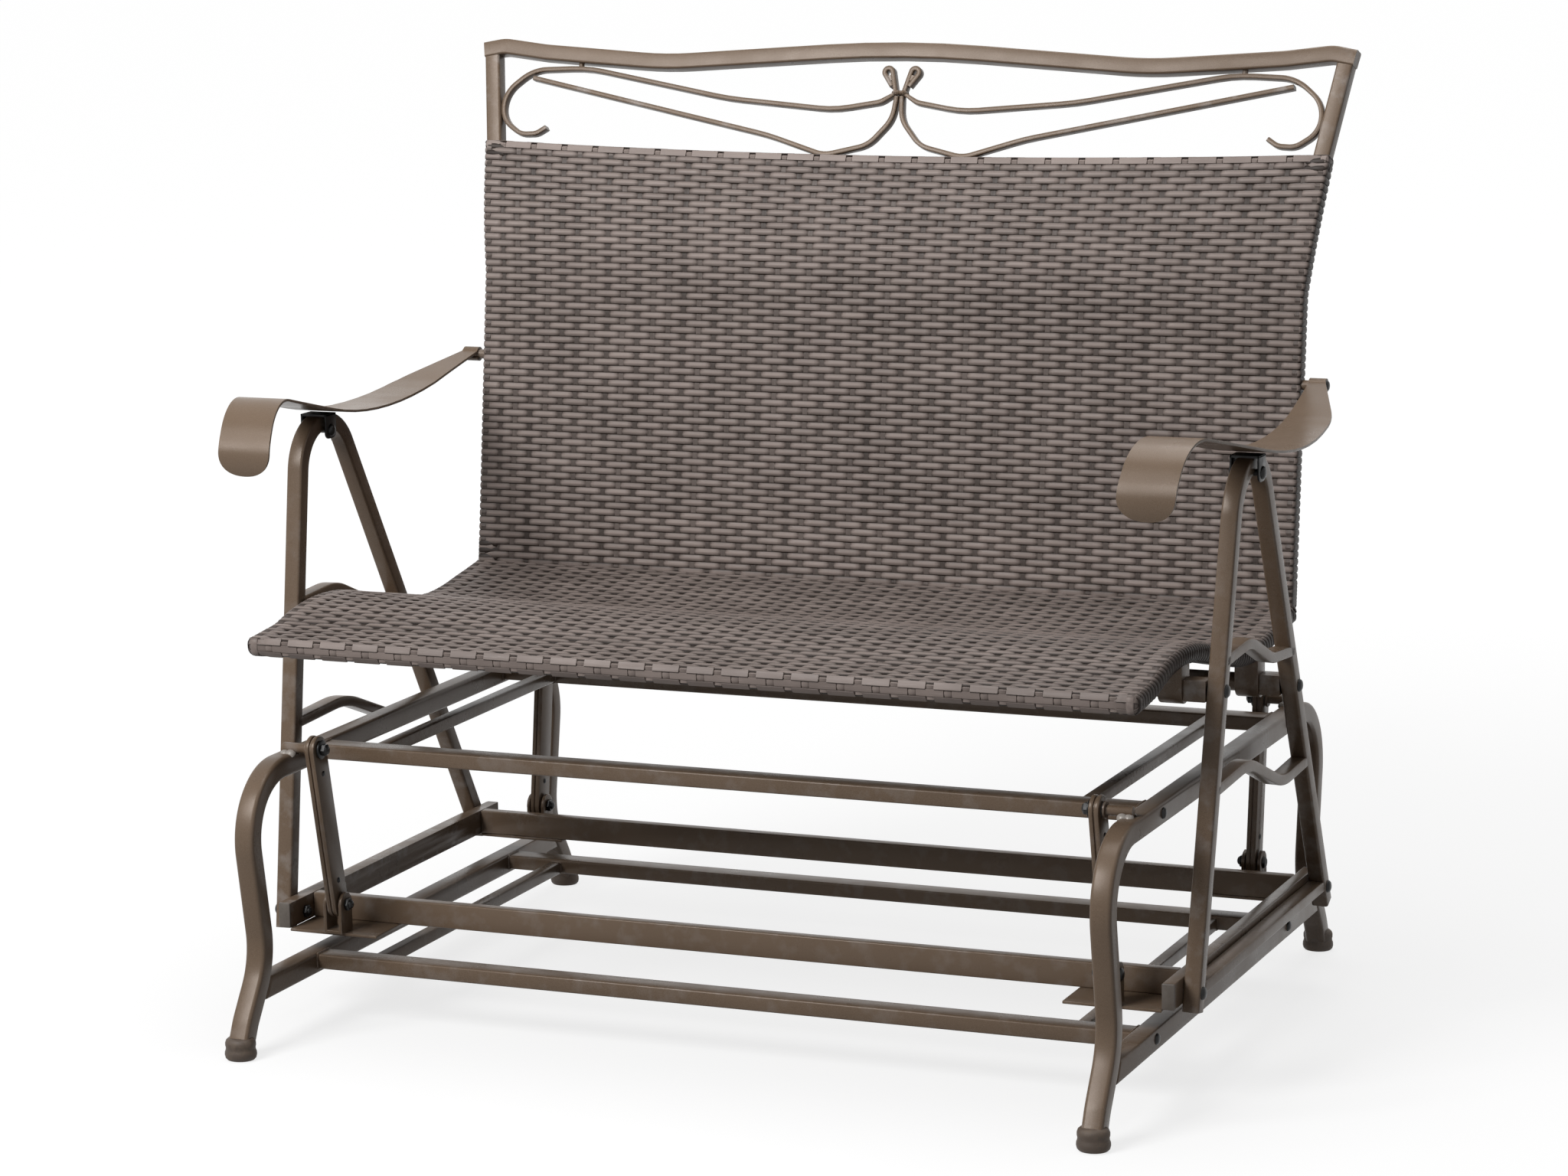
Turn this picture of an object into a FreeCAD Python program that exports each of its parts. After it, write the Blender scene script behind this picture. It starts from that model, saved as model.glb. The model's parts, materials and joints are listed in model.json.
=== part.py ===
"""Two-seat glider bench: bent-tube base, four swing links and a woven seat on side frames.

Millimetres. +X runs along the seat, +Y to the back, +Z up. The origin is on the floor, under the
middle of the bench. Left and right are as seen from the front. Right-hand pieces stand at +X,
and their left-hand twins are mirrored in the plane X = 0.
"""
import FreeCAD, Part

import math
import os
import re

import Sketcher
from FreeCAD import Placement, Rotation, Vector

SIZES = (
    ("tube_side", 25, "base tube, square side"),
    ("hoop_x", 520.8, "middle plane of a base hoop"),
    ("hoop_top", 337, "top face of a hoop's top rail"),
    ("skid_low", 60.5, "underside of the lower side rails"),
    ("skid_reach", 400, "lower side rail, half length before it is coped"),
    ("foot_y", 441, "rubber foot, distance from the middle"),
    ("foot_radius", 17.5, "rubber foot, radius"),
    ("foot_tall", 26, "rubber foot, height"),
    ("bar_deep", 30, "crossbar, depth front to back"),
    ("bar_tall", 18, "crossbar, height"),
    ("bar_low_z", 66, "lower crossbars, underside"),
    ("bar_high_z", 317, "upper crossbars, underside"),
    ("bar_low_front", -273, "front lower crossbar, front face"),
    ("bar_low_rear", 248, "rear lower crossbar, front face"),
    ("bar_high_front", -249, "front upper crossbar, front face"),
    ("bar_high_rear", 246, "rear upper crossbar, front face"),
    ("slim_side", 15, "inner rail, square side"),
    ("slim_x", 441.2, "inner rails, middle"),
    ("base_head_radius", 7, "base bolt, head radius"),
    ("base_head_tall", 3.5, "base bolt, head height"),
    ("link_length", 200, "swing link, between its pivots"),
    ("link_wide", 32, "swing link, width"),
    ("link_thick", 12, "swing link, thickness"),
    ("link_x", 482, "swing links, middle"),
    ("link_front_lean", 11.9, "front link, degrees that its foot leans back"),
    ("link_rear_lean", 7.7, "rear link, degrees that its foot leans forward"),
    ("pivot_z", 343, "upper pivots, height"),
    ("pivot_front_y", -307.7, "front upper pivot"),
    ("pivot_rear_y", 316.9, "rear upper pivot"),
    ("rod_radius", 6, "pivot rod, radius"),
    ("rod_outer_x", 523.5, "pivot rod, outer end"),
    ("rod_inner_x", 474.6, "pivot rod, inner end"),
    ("bore_upper", 9, "link, radius of the upper bore"),
    ("bore_lower", 7.5, "link, radius of the lower bore"),
    ("bush_gap", 0.06, "running gap round a pivot"),
    ("open_gap", 2.1, "gap round the rear lower pivots, whose loops stay open"),
    ("bush_proud", 1, "bush, length outside each face of the link"),
    ("screw_washer", 11, "retaining screw, washer radius"),
    ("clevis_gap", 16, "hanger, clear width between its ears"),
    ("ear_thick", 4, "hanger ear, thickness"),
    ("ear_wide", 28, "hanger ear, width"),
    ("plate_thick", 3.5, "hanger plate, thickness"),
    ("plate_inner_x", 428, "hanger plate, inner end"),
    ("plate_front", -273, "front hanger plates, front edge"),
    ("plate_rear", 305, "rear hanger plates, rear edge"),
    ("pin_radius", 4, "hanger bolt, radius"),
    ("rail_thick", 15, "glider rail, thickness"),
    ("rail_tall", 30, "glider rail, height"),
    ("rail_low", 113, "glider rails, underside"),
    ("rail_x", 543.5, "glider side rail, inner face"),
    ("rail_front", -270, "glider side rail, front end"),
    ("rail_rear", 290, "glider side rail, rear end"),
    ("cap_thick", 3, "rail end cap, thickness"),
    ("cross_front", -214, "front cross rail, front face"),
    ("cross_rear", 240, "rear cross rail, front face"),
    ("side_tube", 20, "side frame tube, square side"),
    ("side_lean", 1.55, "side frame, degrees that it leans outward"),
    ("bar_flat", 13, "side frame cross bars, height"),
    ("stretcher_low", 122, "stretcher, underside"),
    ("bolt_radius", 4, "frame bolt, radius"),
    ("dome_radius", 7.5, "frame bolt, head radius"),
    ("dome_tall", 4, "frame bolt, head height"),
    ("nut_tall", 8, "frame bolt, nut height"),
    ("low_bolt_z", 125, "lower frame bolts, height"),
    ("low_bolt_front", -234, "lower frame bolt in the post"),
    ("low_bolt_rear", 276, "lower frame bolt in the leg"),
    ("seat_half", 545, "seat, half width"),
    ("seat_thick", 24, "seat, thickness at its wrapped edge"),
    ("weave_thick", 9, "seat and back, thickness of the weave between the tubes"),
    ("seat_tube", 16, "seat frame tube, side"),
    ("seat_wrap", 9, "weave outside the seat frame tube"),
    ("carrier_radius", 11, "seat cross tubes, radius"),
    ("carrier_front_y", -176, "front seat cross tube"),
    ("carrier_front_z", 455, "front seat cross tube, height"),
    ("carrier_rear_y", 119.6, "rear seat cross tube"),
    ("carrier_rear_z", 404, "rear seat cross tube, height"),
    ("upright_x", 528.5, "back upright, middle, below the knee"),
    ("upright_side", 20, "back upright, square side"),
    ("foot_of_back_y", 256.7, "back upright, middle, at its lower end"),
    ("foot_of_back_z", 455, "back upright, lower end"),
    ("knee_y", 308, "back upright, middle, at the knee"),
    ("knee_z", 885, "back upright, height of the knee"),
    ("knee_radius", 600, "back upright, bend radius at the knee"),
    ("back_slope", 0.3586, "back above the knee, run back per rise"),
    ("back_flare", 0.165, "back above the knee, run outward per rise"),
    ("crown_z", 1112, "middle of the crest rail at the uprights"),
    ("crest_tall", 18, "crest rail, height"),
    ("back_thick", 25, "back, thickness at its wrapped edge"),
    ("back_low", 472, "woven back, lower edge"),
    ("back_high", 1001, "woven back, upper edge at its corners"),
    ("back_sag", 11, "woven back, drop of its upper edge in the middle"),
    ("scroll_bar", 6, "scroll bar, thickness in its bends"),
    ("scroll_deep", 12, "scroll bar, depth"),
    ("curl_x", 17.6, "curl, distance from the middle"),
    ("curl_z", 1091, "curl, height"),
    ("curl_radius", 10, "curl, radius"),
    ("curl_eye", 3.5, "curl, radius of its eye"),
    ("stud_radius", 3.5, "scroll stud, radius"),
    ("arm_wide", 67, "armrest, width"),
    ("arm_thick", 3, "armrest, thickness"),
    ("arm_tip", 30, "armrest, radius of the rounded tip's corners"),
    ("arm_tip_x", 552.5, "armrest, middle of its hanging tip"),
    ("arm_neck_x", 566, "armrest barrel, outer end"),
    ("barrel_radius", 7, "armrest barrel, radius"),
    ("barrel_y", 288.6, "armrest barrel, middle"),
    ("barrel_z", 733, "armrest barrel, height"),
    ("saddle_bolt_y", -85, "armrest bracket, middle"),
    ("saddle_bolt_z", 684, "armrest bracket, bolt height"),
    ("saddle_half", 27, "armrest bracket, half length"),
    ("saddle_low", 672, "armrest bracket, lower edge"),
    ("saddle_top", 706.2, "armrest bracket, underside of its web"),
    ("saddle_wall", 3, "armrest bracket, sheet thickness"),
    ("hidden_side", 15, "rails inside the woven back, square side"),
    ("pocket_edge", 40, "border of the hollow behind the woven back"),
)

BENDS = {
    "hoop": ((-443, 8, 0), (-427, 41, 80), (-382.6, 105.7, 90), (-420, 324.5, 76)),
    "frame": ((-237.7, 104, 0), (-112, 818.6, 63), (287, 104, 0)),
    "wave_low": ((-195, 346, 0), (-69, 351, 150), (72, 298.6, 150), (172, 303, 0)),
    "wave_high": ((-172, 488, 0), (-78, 493, 100), (12, 457, 100), (96, 450, 0)),
    "seat": ((-354, 481.5, 0), (-290, 487, 100), (-193, 514.5, 340), (90, 450, 346), (258, 471, 0)),
    "arm": ((-334, 661, 0), (-342, 685, 50), (-310, 757, 38), (30, 686.6, 730), (284, 733, 0)),
    "crest": ((577, 1112, 0), (545, 1121, 30), (500, 1110, 60), (320, 1100, 500), (0, 1121, 1500)),
    "scroll_top": ((478, 1017, 0), (504, 1003, 14), (536, 1022, 22), (538, 1066, 30),
                   (505, 1092, 40), (430, 1089, 200), (230, 1057, 400), (85, 1045, 160),
                   (24, 1055, 26), (5.5, 1074, 16), (6.5, 1094, 0)),
    "scroll_low": ((492, 1080, 0), (170, 1013, 300), (92, 990, 44), (34, 1003, 40),
                   (6, 1034, 40), (3.4, 1062, 0)),
}

ARM_PLAN = {
    "outer": ((-360, 584), (-20, 619), (215, 604.5)),
    "neck": ((268, 592), (300, 566)),
    "inner": ((300, 548), (-20, 553), (-360, 517)),
}

ACROSS = Vector(1, 0, 0)
FACING = Rotation(ACROSS, 90)
SIDEWAYS = Rotation(Vector(1, 1, 1), 120)
LENGTHWISE = Rotation(Vector(0, 1, 0), 90)
ROUND_SIDES = 16
PIN_SIDES = 12
HEAD_SIDES = 8
NUT_SIDES = 6

doc = FreeCAD.newDocument("glider_bench")
sheet = doc.addObject("Spreadsheet::Sheet", "Sizes")
pieces = {}


def fill_sheet():
    """Write every driving dimension and bend table into the sheet, one alias to a cell."""
    rows = list(SIZES)
    for name, bends in BENDS.items():
        for index, bend in enumerate(bends):
            for letter, size in zip("abr", bend):
                rows.append((f"{name}_{letter}{index}", size, f"bend {index} of {name}"))
    for line, (alias, size, meaning) in enumerate(rows, start=1):
        sheet.set(f"A{line}", meaning)
        sheet.set(f"B{line}", str(size))
        sheet.setAlias(f"B{line}", alias)
    doc.recompute()
    return {alias for alias, _, _ in rows}


ALIASES = fill_sheet()


def formula(text):
    """An expression in which each alias is read from the sheet."""
    return re.sub(r"[a-z_]\w*", lambda word: "Sizes." + word[0] if word[0] in ALIASES else word[0],
                  text)


def value(text):
    """The number that such an expression gives."""
    return float(sheet.evalExpression(formula(text)))


def bend_rows(name, height="{}"):
    """One bend table as expressions: two coordinates and a radius, empty at the ends."""
    return [(f"{name}_a{i}", height.format(f"{name}_b{i}"), f"{name}_r{i}" if bend[2] else "")
            for i, bend in enumerate(BENDS[name])]


def mirrored_rows(rows):
    """The same bends in reverse order on the other side of the middle."""
    return [(f"-({a})", b, radius) for a, b, radius in reversed(rows)]


def keep(label, shape_object):
    """Name a finished piece, which is written to its own file."""
    shape_object.Label = label
    pieces[label] = shape_object
    return shape_object


def block(name, x_span, y_span, z_span):
    """A box between a low and a high expression on each axis."""
    box = doc.addObject("Part::Box", name)
    for axis, dimension, (low, high) in zip("xyz", ("Length", "Width", "Height"),
                                            (x_span, y_span, z_span)):
        box.setExpression(dimension, formula(f"({high}) - ({low})"))
        box.setExpression(f"Placement.Base.{axis}", formula(low))
    return box


def pin(name, x_span, y, z, radius, sides=0):
    """A round pin along X, or one with many flat sides."""
    rod = doc.addObject("Part::Prism" if sides else "Part::Cylinder", name)
    if sides:
        rod.Polygon = sides
    rod.Placement = Placement(Vector(), LENGTHWISE)
    rod.setExpression("Circumradius" if sides else "Radius", formula(radius))
    rod.setExpression("Height", formula(f"({x_span[1]}) - ({x_span[0]})"))
    for axis, position in zip("xyz", (x_span[0], y, z)):
        rod.setExpression(f"Placement.Base.{axis}", formula(position))
    return rod


def stick(start, along, radius, sides):
    """A many-sided stick from a point, as long as the vector along."""
    turn = Rotation(Vector(0, 0, 1), along)
    corners = [start + turn.multVec(Vector(radius * math.cos(angle), radius * math.sin(angle), 0))
               for angle in (2 * math.pi * index / sides for index in range(sides))]
    return Part.Face(Part.makePolygon(corners + corners[:1])).extrude(along)


def peg(x_from, x_to, y, z, radius, sides):
    """A many-sided shank, head or nut along X."""
    return stick(Vector(x_from, y, z), Vector(x_to - x_from, 0, 0), radius, sides)


def combine(kind, name, **links):
    """A boolean, compound or mirror image of other objects of the document."""
    joined = doc.addObject(f"Part::{kind}", name)
    for prop, linked in links.items():
        setattr(joined, prop, linked)
    return joined


def twin(name, source):
    """The mirror image in the middle plane of the bench."""
    return combine("Mirroring", name, Source=source, Normal=Vector(1, 0, 0))


def built(name, shape):
    """A piece whose shape is worked out from the sheet by the functions below."""
    feature = doc.addObject("Part::Feature", name)
    feature.Shape = shape
    return feature


def origin_plane(body, role):
    """One of the origin planes of a body."""
    return next(plane for plane in body.Origin.OriginFeatures if plane.Role == role)


def sketch_on(body, name, role="XY_Plane"):
    """An empty sketch on an origin plane of its body."""
    sketch = body.newObject("Sketcher::SketchObject", name)
    sketch.AttachmentSupport = [(origin_plane(body, role), "")]
    sketch.MapMode = "FlatFace"
    return sketch


def bind(sketch, constraint, name, text):
    """Add a dimension to a sketch and bind it to the sheet."""
    index = sketch.addConstraint(constraint)
    sketch.renameConstraint(index, name)
    sketch.setExpression(f"Constraints.{name}", formula(text))


def place_point(sketch, geometry, position, name, x, y):
    """Fix a point of a sketch by its two coordinates."""
    for kind, letter, text, axis in (("DistanceX", "x", x, -2), ("DistanceY", "y", y, -1)):
        size = value(text)
        if abs(size) < 1e-9:
            sketch.addConstraint(Sketcher.Constraint("PointOnObject", geometry, position, axis))
        else:
            bind(sketch, Sketcher.Constraint(kind, -1, 1, geometry, position, size),
                 name + letter, text)


def round_corner(before, corner, after, radius):
    """Where an arc in a corner starts, its middle and where it ends."""
    back = (before - corner).normalize()
    onward = (after - corner).normalize()
    half = back.getAngle(onward) / 2
    reach = radius / math.tan(half)
    inward = (back + onward).normalize()
    middle = corner + inward * (radius / math.sin(half) - radius)
    return corner + back * reach, middle, corner + onward * reach


def bent_edges(points, radii):
    """Straight runs joined by tangent arcs."""
    edges = []
    start = points[0]
    for before, corner, after, radius in zip(points, points[1:], points[2:], radii[1:]):
        arc_start, middle, arc_end = round_corner(before, corner, after, radius)
        edges.append(Part.LineSegment(start, arc_start))
        edges.append(Part.Arc(arc_start, middle, arc_end))
        start = arc_end
    edges.append(Part.LineSegment(start, points[-1]))
    return edges


def near(sketch, geometry, point):
    """Which end of an edge in a sketch lies at a point."""
    return min((1, 2), key=lambda position: (sketch.getPoint(geometry, position) - point).Length)


def draw_bends(sketch, rows):
    """Draw a bend table: runs and arcs tangent to each other, with every corner dimensioned."""
    points = [Vector(value(a), value(b), 0) for a, b, _ in rows]
    radii = [value(radius) if radius else 0 for _, _, radius in rows]
    edges = bent_edges(points, radii)
    sketch.addGeometry(edges, False)
    place_point(sketch, 0, 1, "start_", rows[0][0], rows[0][1])
    place_point(sketch, len(edges) - 1, 2, "end_", rows[-1][0], rows[-1][1])
    for index in range(1, len(rows) - 1):
        run, arc, onward = 2 * index - 2, 2 * index - 1, 2 * index
        first = near(sketch, arc, sketch.getPoint(run, 2))
        sketch.addConstraint(Sketcher.Constraint("Tangent", run, 2, arc, first))
        sketch.addConstraint(Sketcher.Constraint("Tangent", arc, 3 - first, onward, 1))
        bind(sketch, Sketcher.Constraint("Radius", arc, radii[index]), f"radius_{index}",
             rows[index][2])
        corner = sketch.addGeometry(Part.Point(points[index]), True)
        sketch.addConstraint(Sketcher.Constraint("PointOnObject", corner, 1, run))
        sketch.addConstraint(Sketcher.Constraint("PointOnObject", corner, 1, onward))
        place_point(sketch, corner, 1, f"corner_{index}_", rows[index][0], rows[index][1])
    return points


def draw_rectangle(sketch, wide, tall):
    """Draw a rectangle about the sketch's origin."""
    half_wide, half_tall = value(wide) / 2, value(tall) / 2
    corners = [Vector(x * half_wide, y * half_tall, 0)
               for x, y in ((-1, -1), (1, -1), (1, 1), (-1, 1))]
    for start, end in zip(corners, corners[1:] + corners[:1]):
        sketch.addGeometry(Part.LineSegment(start, end), False)
    for index in range(4):
        sketch.addConstraint(Sketcher.Constraint("Coincident", index, 2, (index + 1) % 4, 1))
    for index, kind in enumerate(("Horizontal", "Vertical", "Horizontal", "Vertical")):
        sketch.addConstraint(Sketcher.Constraint(kind, index))
    sketch.addConstraint(Sketcher.Constraint("Symmetric", 0, 1, 2, 1, -1, 1))
    bind(sketch, Sketcher.Constraint("DistanceX", 3, 1, 1, 1, 2 * half_wide), "wide", wide)
    bind(sketch, Sketcher.Constraint("DistanceY", 0, 1, 2, 1, 2 * half_tall), "tall", tall)


def bent_tube(name, rows, wide, tall):
    """A tube or bar bent in the body's XY plane; wide is its size along Z."""
    body = doc.addObject("PartDesign::Body", name)
    path = sketch_on(body, name + "_path")
    points = draw_bends(path, rows)
    section = body.newObject("Sketcher::SketchObject", name + "_section")
    along = (points[1] - points[0]).normalize()
    section.Placement = Placement(points[0], Rotation(Vector(0, 0, 1), along.cross(Vector(0, 0, 1)),
                                                      along, "ZXY"))
    draw_rectangle(section, wide, tall)
    doc.recompute()
    pipe = body.newObject("PartDesign::AdditivePipe", name + "_pipe")
    pipe.Profile = section
    pipe.Spine = (path, [f"Edge{index + 1}" for index in range(2 * len(rows) - 3)])
    body.Tip = pipe
    return body


def move(body, rotation, x="0", y="0", z="0"):
    """Turn a body and place its origin by three expressions."""
    body.Placement = Placement(Vector(), rotation)
    for axis, position in zip("xyz", (x, y, z)):
        body.setExpression(f"Placement.Base.{axis}", formula(position))
    return body


def swept_bar(points, radii, side, wide, deep, offset=0.0):
    """A rectangular bar along bent runs in space; side is the direction of its width."""
    along = (points[1] - points[0]).normalize()
    up = side.cross(along).normalize()
    middle = points[0] + up * offset
    corners = [middle + side * (a * wide / 2) + up * (b * deep / 2)
               for a, b in ((-1, -1), (1, -1), (1, 1), (-1, 1), (-1, -1))]
    path = Part.Wire([edge.toShape() for edge in bent_edges(points, radii)])
    shell = path.makePipeShell([Part.makePolygon(corners)], True, False)
    return Part.Solid(shell) if shell.ShapeType == "Shell" else shell


def mirrored(shape):
    """The same shape on the other side of the middle plane."""
    return shape.mirror(Vector(), ACROSS)


def table_points(name):
    """One bend table as numbers: its coordinate pairs and its radii."""
    rows = bend_rows(name)
    return ([(value(a), value(b)) for a, b, _ in rows],
            [value(radius) if radius else 0 for _, _, radius in rows])


def span_block(low, high):
    """A plain box between two corners."""
    return Part.makeBox(*(high - low), low)


def make_base():
    """Two hoops on rubber feet, tied by crossbars and rails above and below."""
    rows = bend_rows("hoop")
    hoop = bent_tube("hoop", rows + mirrored_rows(rows), "tube_side", "tube_side")
    move(hoop, SIDEWAYS, "hoop_x")
    keep("base_hoop_right", hoop)
    keep("base_hoop_left", twin("hoop_left", hoop))

    inner = "hoop_x - tube_side / 2"
    outer = "hoop_x + tube_side / 2"
    skid_blank = block("skid_blank", (inner, outer), ("-skid_reach", "skid_reach"),
                       ("skid_low", "skid_low + tube_side"))
    skid = combine("Cut", "skid", Base=skid_blank, Tool=hoop)
    keep("base_side_rail_right", skid)
    keep("base_side_rail_left", twin("skid_left", skid))

    for height in ("low", "high"):
        level = (f"bar_{height}_z", f"bar_{height}_z + bar_tall")
        place = {"low": "lower", "high": "upper"}[height]
        for end in ("front", "rear"):
            face = f"bar_{height}_{end}"
            bar = block(f"bar_{height}_{end}", (f"-({inner})", inner), (face, face + " + bar_deep"),
                        level)
            keep(f"{place}_crossbar_{end}", bar)
        slim_low = f"bar_{height}_z + {'0' if height == 'low' else 'bar_tall - slim_side - 1'}"
        slim = block(f"slim_{height}", ("slim_x - slim_side / 2", "slim_x + slim_side / 2"),
                     (f"bar_{height}_front + bar_deep", f"bar_{height}_rear"),
                     (slim_low, slim_low + " + slim_side"))
        keep(f"{place}_inner_rail_right", slim)
        keep(f"{place}_inner_rail_left", twin(f"slim_{height}_left", slim))

    for end, sign in (("front", "-"), ("rear", "")):
        rubber = doc.addObject("Part::Prism", f"foot_{end}_rubber")
        rubber.Polygon = ROUND_SIDES
        rubber.setExpression("Circumradius", formula("foot_radius"))
        rubber.setExpression("Height", formula("foot_tall"))
        rubber.setExpression("Placement.Base.x", formula("hoop_x"))
        rubber.setExpression("Placement.Base.y", formula(f"{sign}foot_y"))
        foot = combine("Cut", f"foot_{end}", Base=rubber, Tool=hoop)
        keep(f"foot_tip_{end}_right", foot)
        keep(f"foot_tip_{end}_left", twin(f"foot_{end}_left", foot))

    heads = []
    for height in ("low", "high"):
        for end in ("front", "rear"):
            heads.append(pin(f"base_head_{height}_{end}", (outer, outer + " + base_head_tall"),
                             f"bar_{height}_{end} + bar_deep / 2",
                             f"bar_{height}_z + bar_tall / 2", "base_head_radius", HEAD_SIDES))
    heads += [twin(head.Name + "_left", head) for head in heads]
    keep("base_bolts", combine("Compound", "base_heads", Links=heads))


def make_pivots():
    """The four rods on top of the hoops, each with a washer and screw at its inner end."""
    rods, screws = [], []
    for end in ("front", "rear"):
        spot = (f"pivot_{end}_y", "pivot_z")
        rod = pin(f"rod_{end}", ("rod_inner_x", "rod_outer_x"), *spot, "rod_radius", PIN_SIDES)
        bead = block(f"bead_{end}", ("hoop_x - tube_side / 2 + 1", "rod_outer_x - 1"),
                     (spot[0] + " - rod_radius - 2", spot[0] + " + rod_radius + 2"),
                     ("hoop_top", "hoop_top + 2.5"))
        collar = pin(f"rod_collar_{end}", ("link_x + link_thick / 2 + bush_proud + 0.4",
                                           "link_x + link_thick / 2 + bush_proud + 3.4"),
                     *spot, "rod_radius + 4", PIN_SIDES)
        rods.append(combine("MultiFuse", f"rod_{end}_welded", Shapes=[rod, bead, collar]))
        washer = pin(f"washer_{end}", ("rod_inner_x - 2", "rod_inner_x"), *spot, "screw_washer",
                     HEAD_SIDES)
        head = pin(f"screw_head_{end}", ("rod_inner_x - 10", "rod_inner_x - 2"), *spot,
                   "screw_washer * 0.65", HEAD_SIDES)
        screws.append(combine("MultiFuse", f"screw_{end}", Shapes=[washer, head]))
    rods += [twin(rod.Name + "_left", rod) for rod in rods]
    screws += [twin(screw.Name + "_left", screw) for screw in screws]
    keep("pivot_rods", combine("Compound", "all_rods", Links=rods))
    keep("rod_retaining_screws", combine("Compound", "all_screws", Links=screws))


def link_body(name):
    """A swing link before it is bored: a long plate with round ends."""
    body = doc.addObject("PartDesign::Body", name)
    outline = sketch_on(body, name + "_outline")
    radius, length = value("link_wide / 2"), value("link_length")
    ends = (Vector(0, 0, 0), Vector(0, -length, 0))
    outline.addGeometry([
        Part.ArcOfCircle(Part.Circle(ends[0], Vector(0, 0, 1), radius), 0, math.pi),
        Part.ArcOfCircle(Part.Circle(ends[1], Vector(0, 0, 1), radius), math.pi, 2 * math.pi),
        Part.LineSegment(Vector(-radius, 0, 0), Vector(-radius, -length, 0)),
        Part.LineSegment(Vector(radius, -length, 0), Vector(radius, 0, 0))], False)
    for first, place, second, other in ((0, 2, 2, 1), (2, 2, 1, 1), (1, 2, 3, 1), (3, 2, 0, 1)):
        outline.addConstraint(Sketcher.Constraint("Tangent", first, place, second, other))
    outline.addConstraint(Sketcher.Constraint("Coincident", 0, 3, -1, 1))
    outline.addConstraint(Sketcher.Constraint("Vertical", 0, 3, 1, 3))
    bind(outline, Sketcher.Constraint("Radius", 0, radius), "end_radius", "link_wide / 2")
    bind(outline, Sketcher.Constraint("Distance", 0, 3, 1, 3, length), "spread", "link_length")
    doc.recompute()
    plate = body.newObject("PartDesign::Pad", name + "_plate")
    plate.Profile = outline
    plate.setExpression("Length", formula("link_thick"))
    body.Tip = plate
    return body


def link_places():
    """For each end: the pivot's position, the signed lean and the gap at the lower pivot."""
    return {"front": ("pivot_front_y", value("link_front_lean"), "bush_gap"),
            "rear": ("pivot_rear_y", -value("link_rear_lean"), "open_gap")}


def lower_pivot(end):
    """Height and depth of a lower pivot as expressions."""
    sign = {"front": "", "rear": "-"}[end]
    return (f"pivot_{end}_y {sign or '+'} link_length * sin(link_{end}_lean * 1 deg)",
            f"pivot_z - link_length * cos(link_{end}_lean * 1 deg)")


def bush(name, y, z, bore_radius, shaft_radius, gap):
    """A plain bearing that stands a little proud of both faces of the link."""
    span = ("link_x - link_thick / 2 - bush_proud", "link_x + link_thick / 2 + bush_proud")
    sleeve = pin(name + "_sleeve", span, y, z, bore_radius, PIN_SIDES)
    shaft = pin(name + "_shaft", span, y, z,
                f"({shaft_radius} + {gap}) / cos(180 deg / {PIN_SIDES})", PIN_SIDES)
    return sleeve, combine("Cut", name, Base=sleeve, Tool=shaft)


def make_links():
    """Four swing links with their bushes, each hung from a rod of the base."""
    for end, (pivot_y, lean, gap) in link_places().items():
        plate = link_body(f"link_{end}_plate")
        move(plate, Rotation(ACROSS, lean) * SIDEWAYS, "link_x - link_thick / 2", pivot_y,
             "pivot_z")
        high_sleeve, high = bush(f"bush_{end}_upper", pivot_y, "pivot_z", "bore_upper",
                                 "rod_radius", "bush_gap")
        low_sleeve, low = bush(f"bush_{end}_lower", *lower_pivot(end), "bore_lower",
                               "pin_radius", gap)
        bored = combine("Cut", f"link_{end}_bored", Base=plate, Tool=high_sleeve)
        link = combine("Cut", f"link_{end}", Base=bored, Tool=low_sleeve)
        bushes = combine("Compound", f"bushes_{end}", Links=[high, low])
        keep(f"swing_link_{end}_right", link)
        keep(f"swing_link_{end}_left", twin(f"link_{end}_left", link))
        keep(f"link_bushes_{end}_right", bushes)
        keep(f"link_bushes_{end}_left", twin(f"bushes_{end}_left", bushes))


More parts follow.
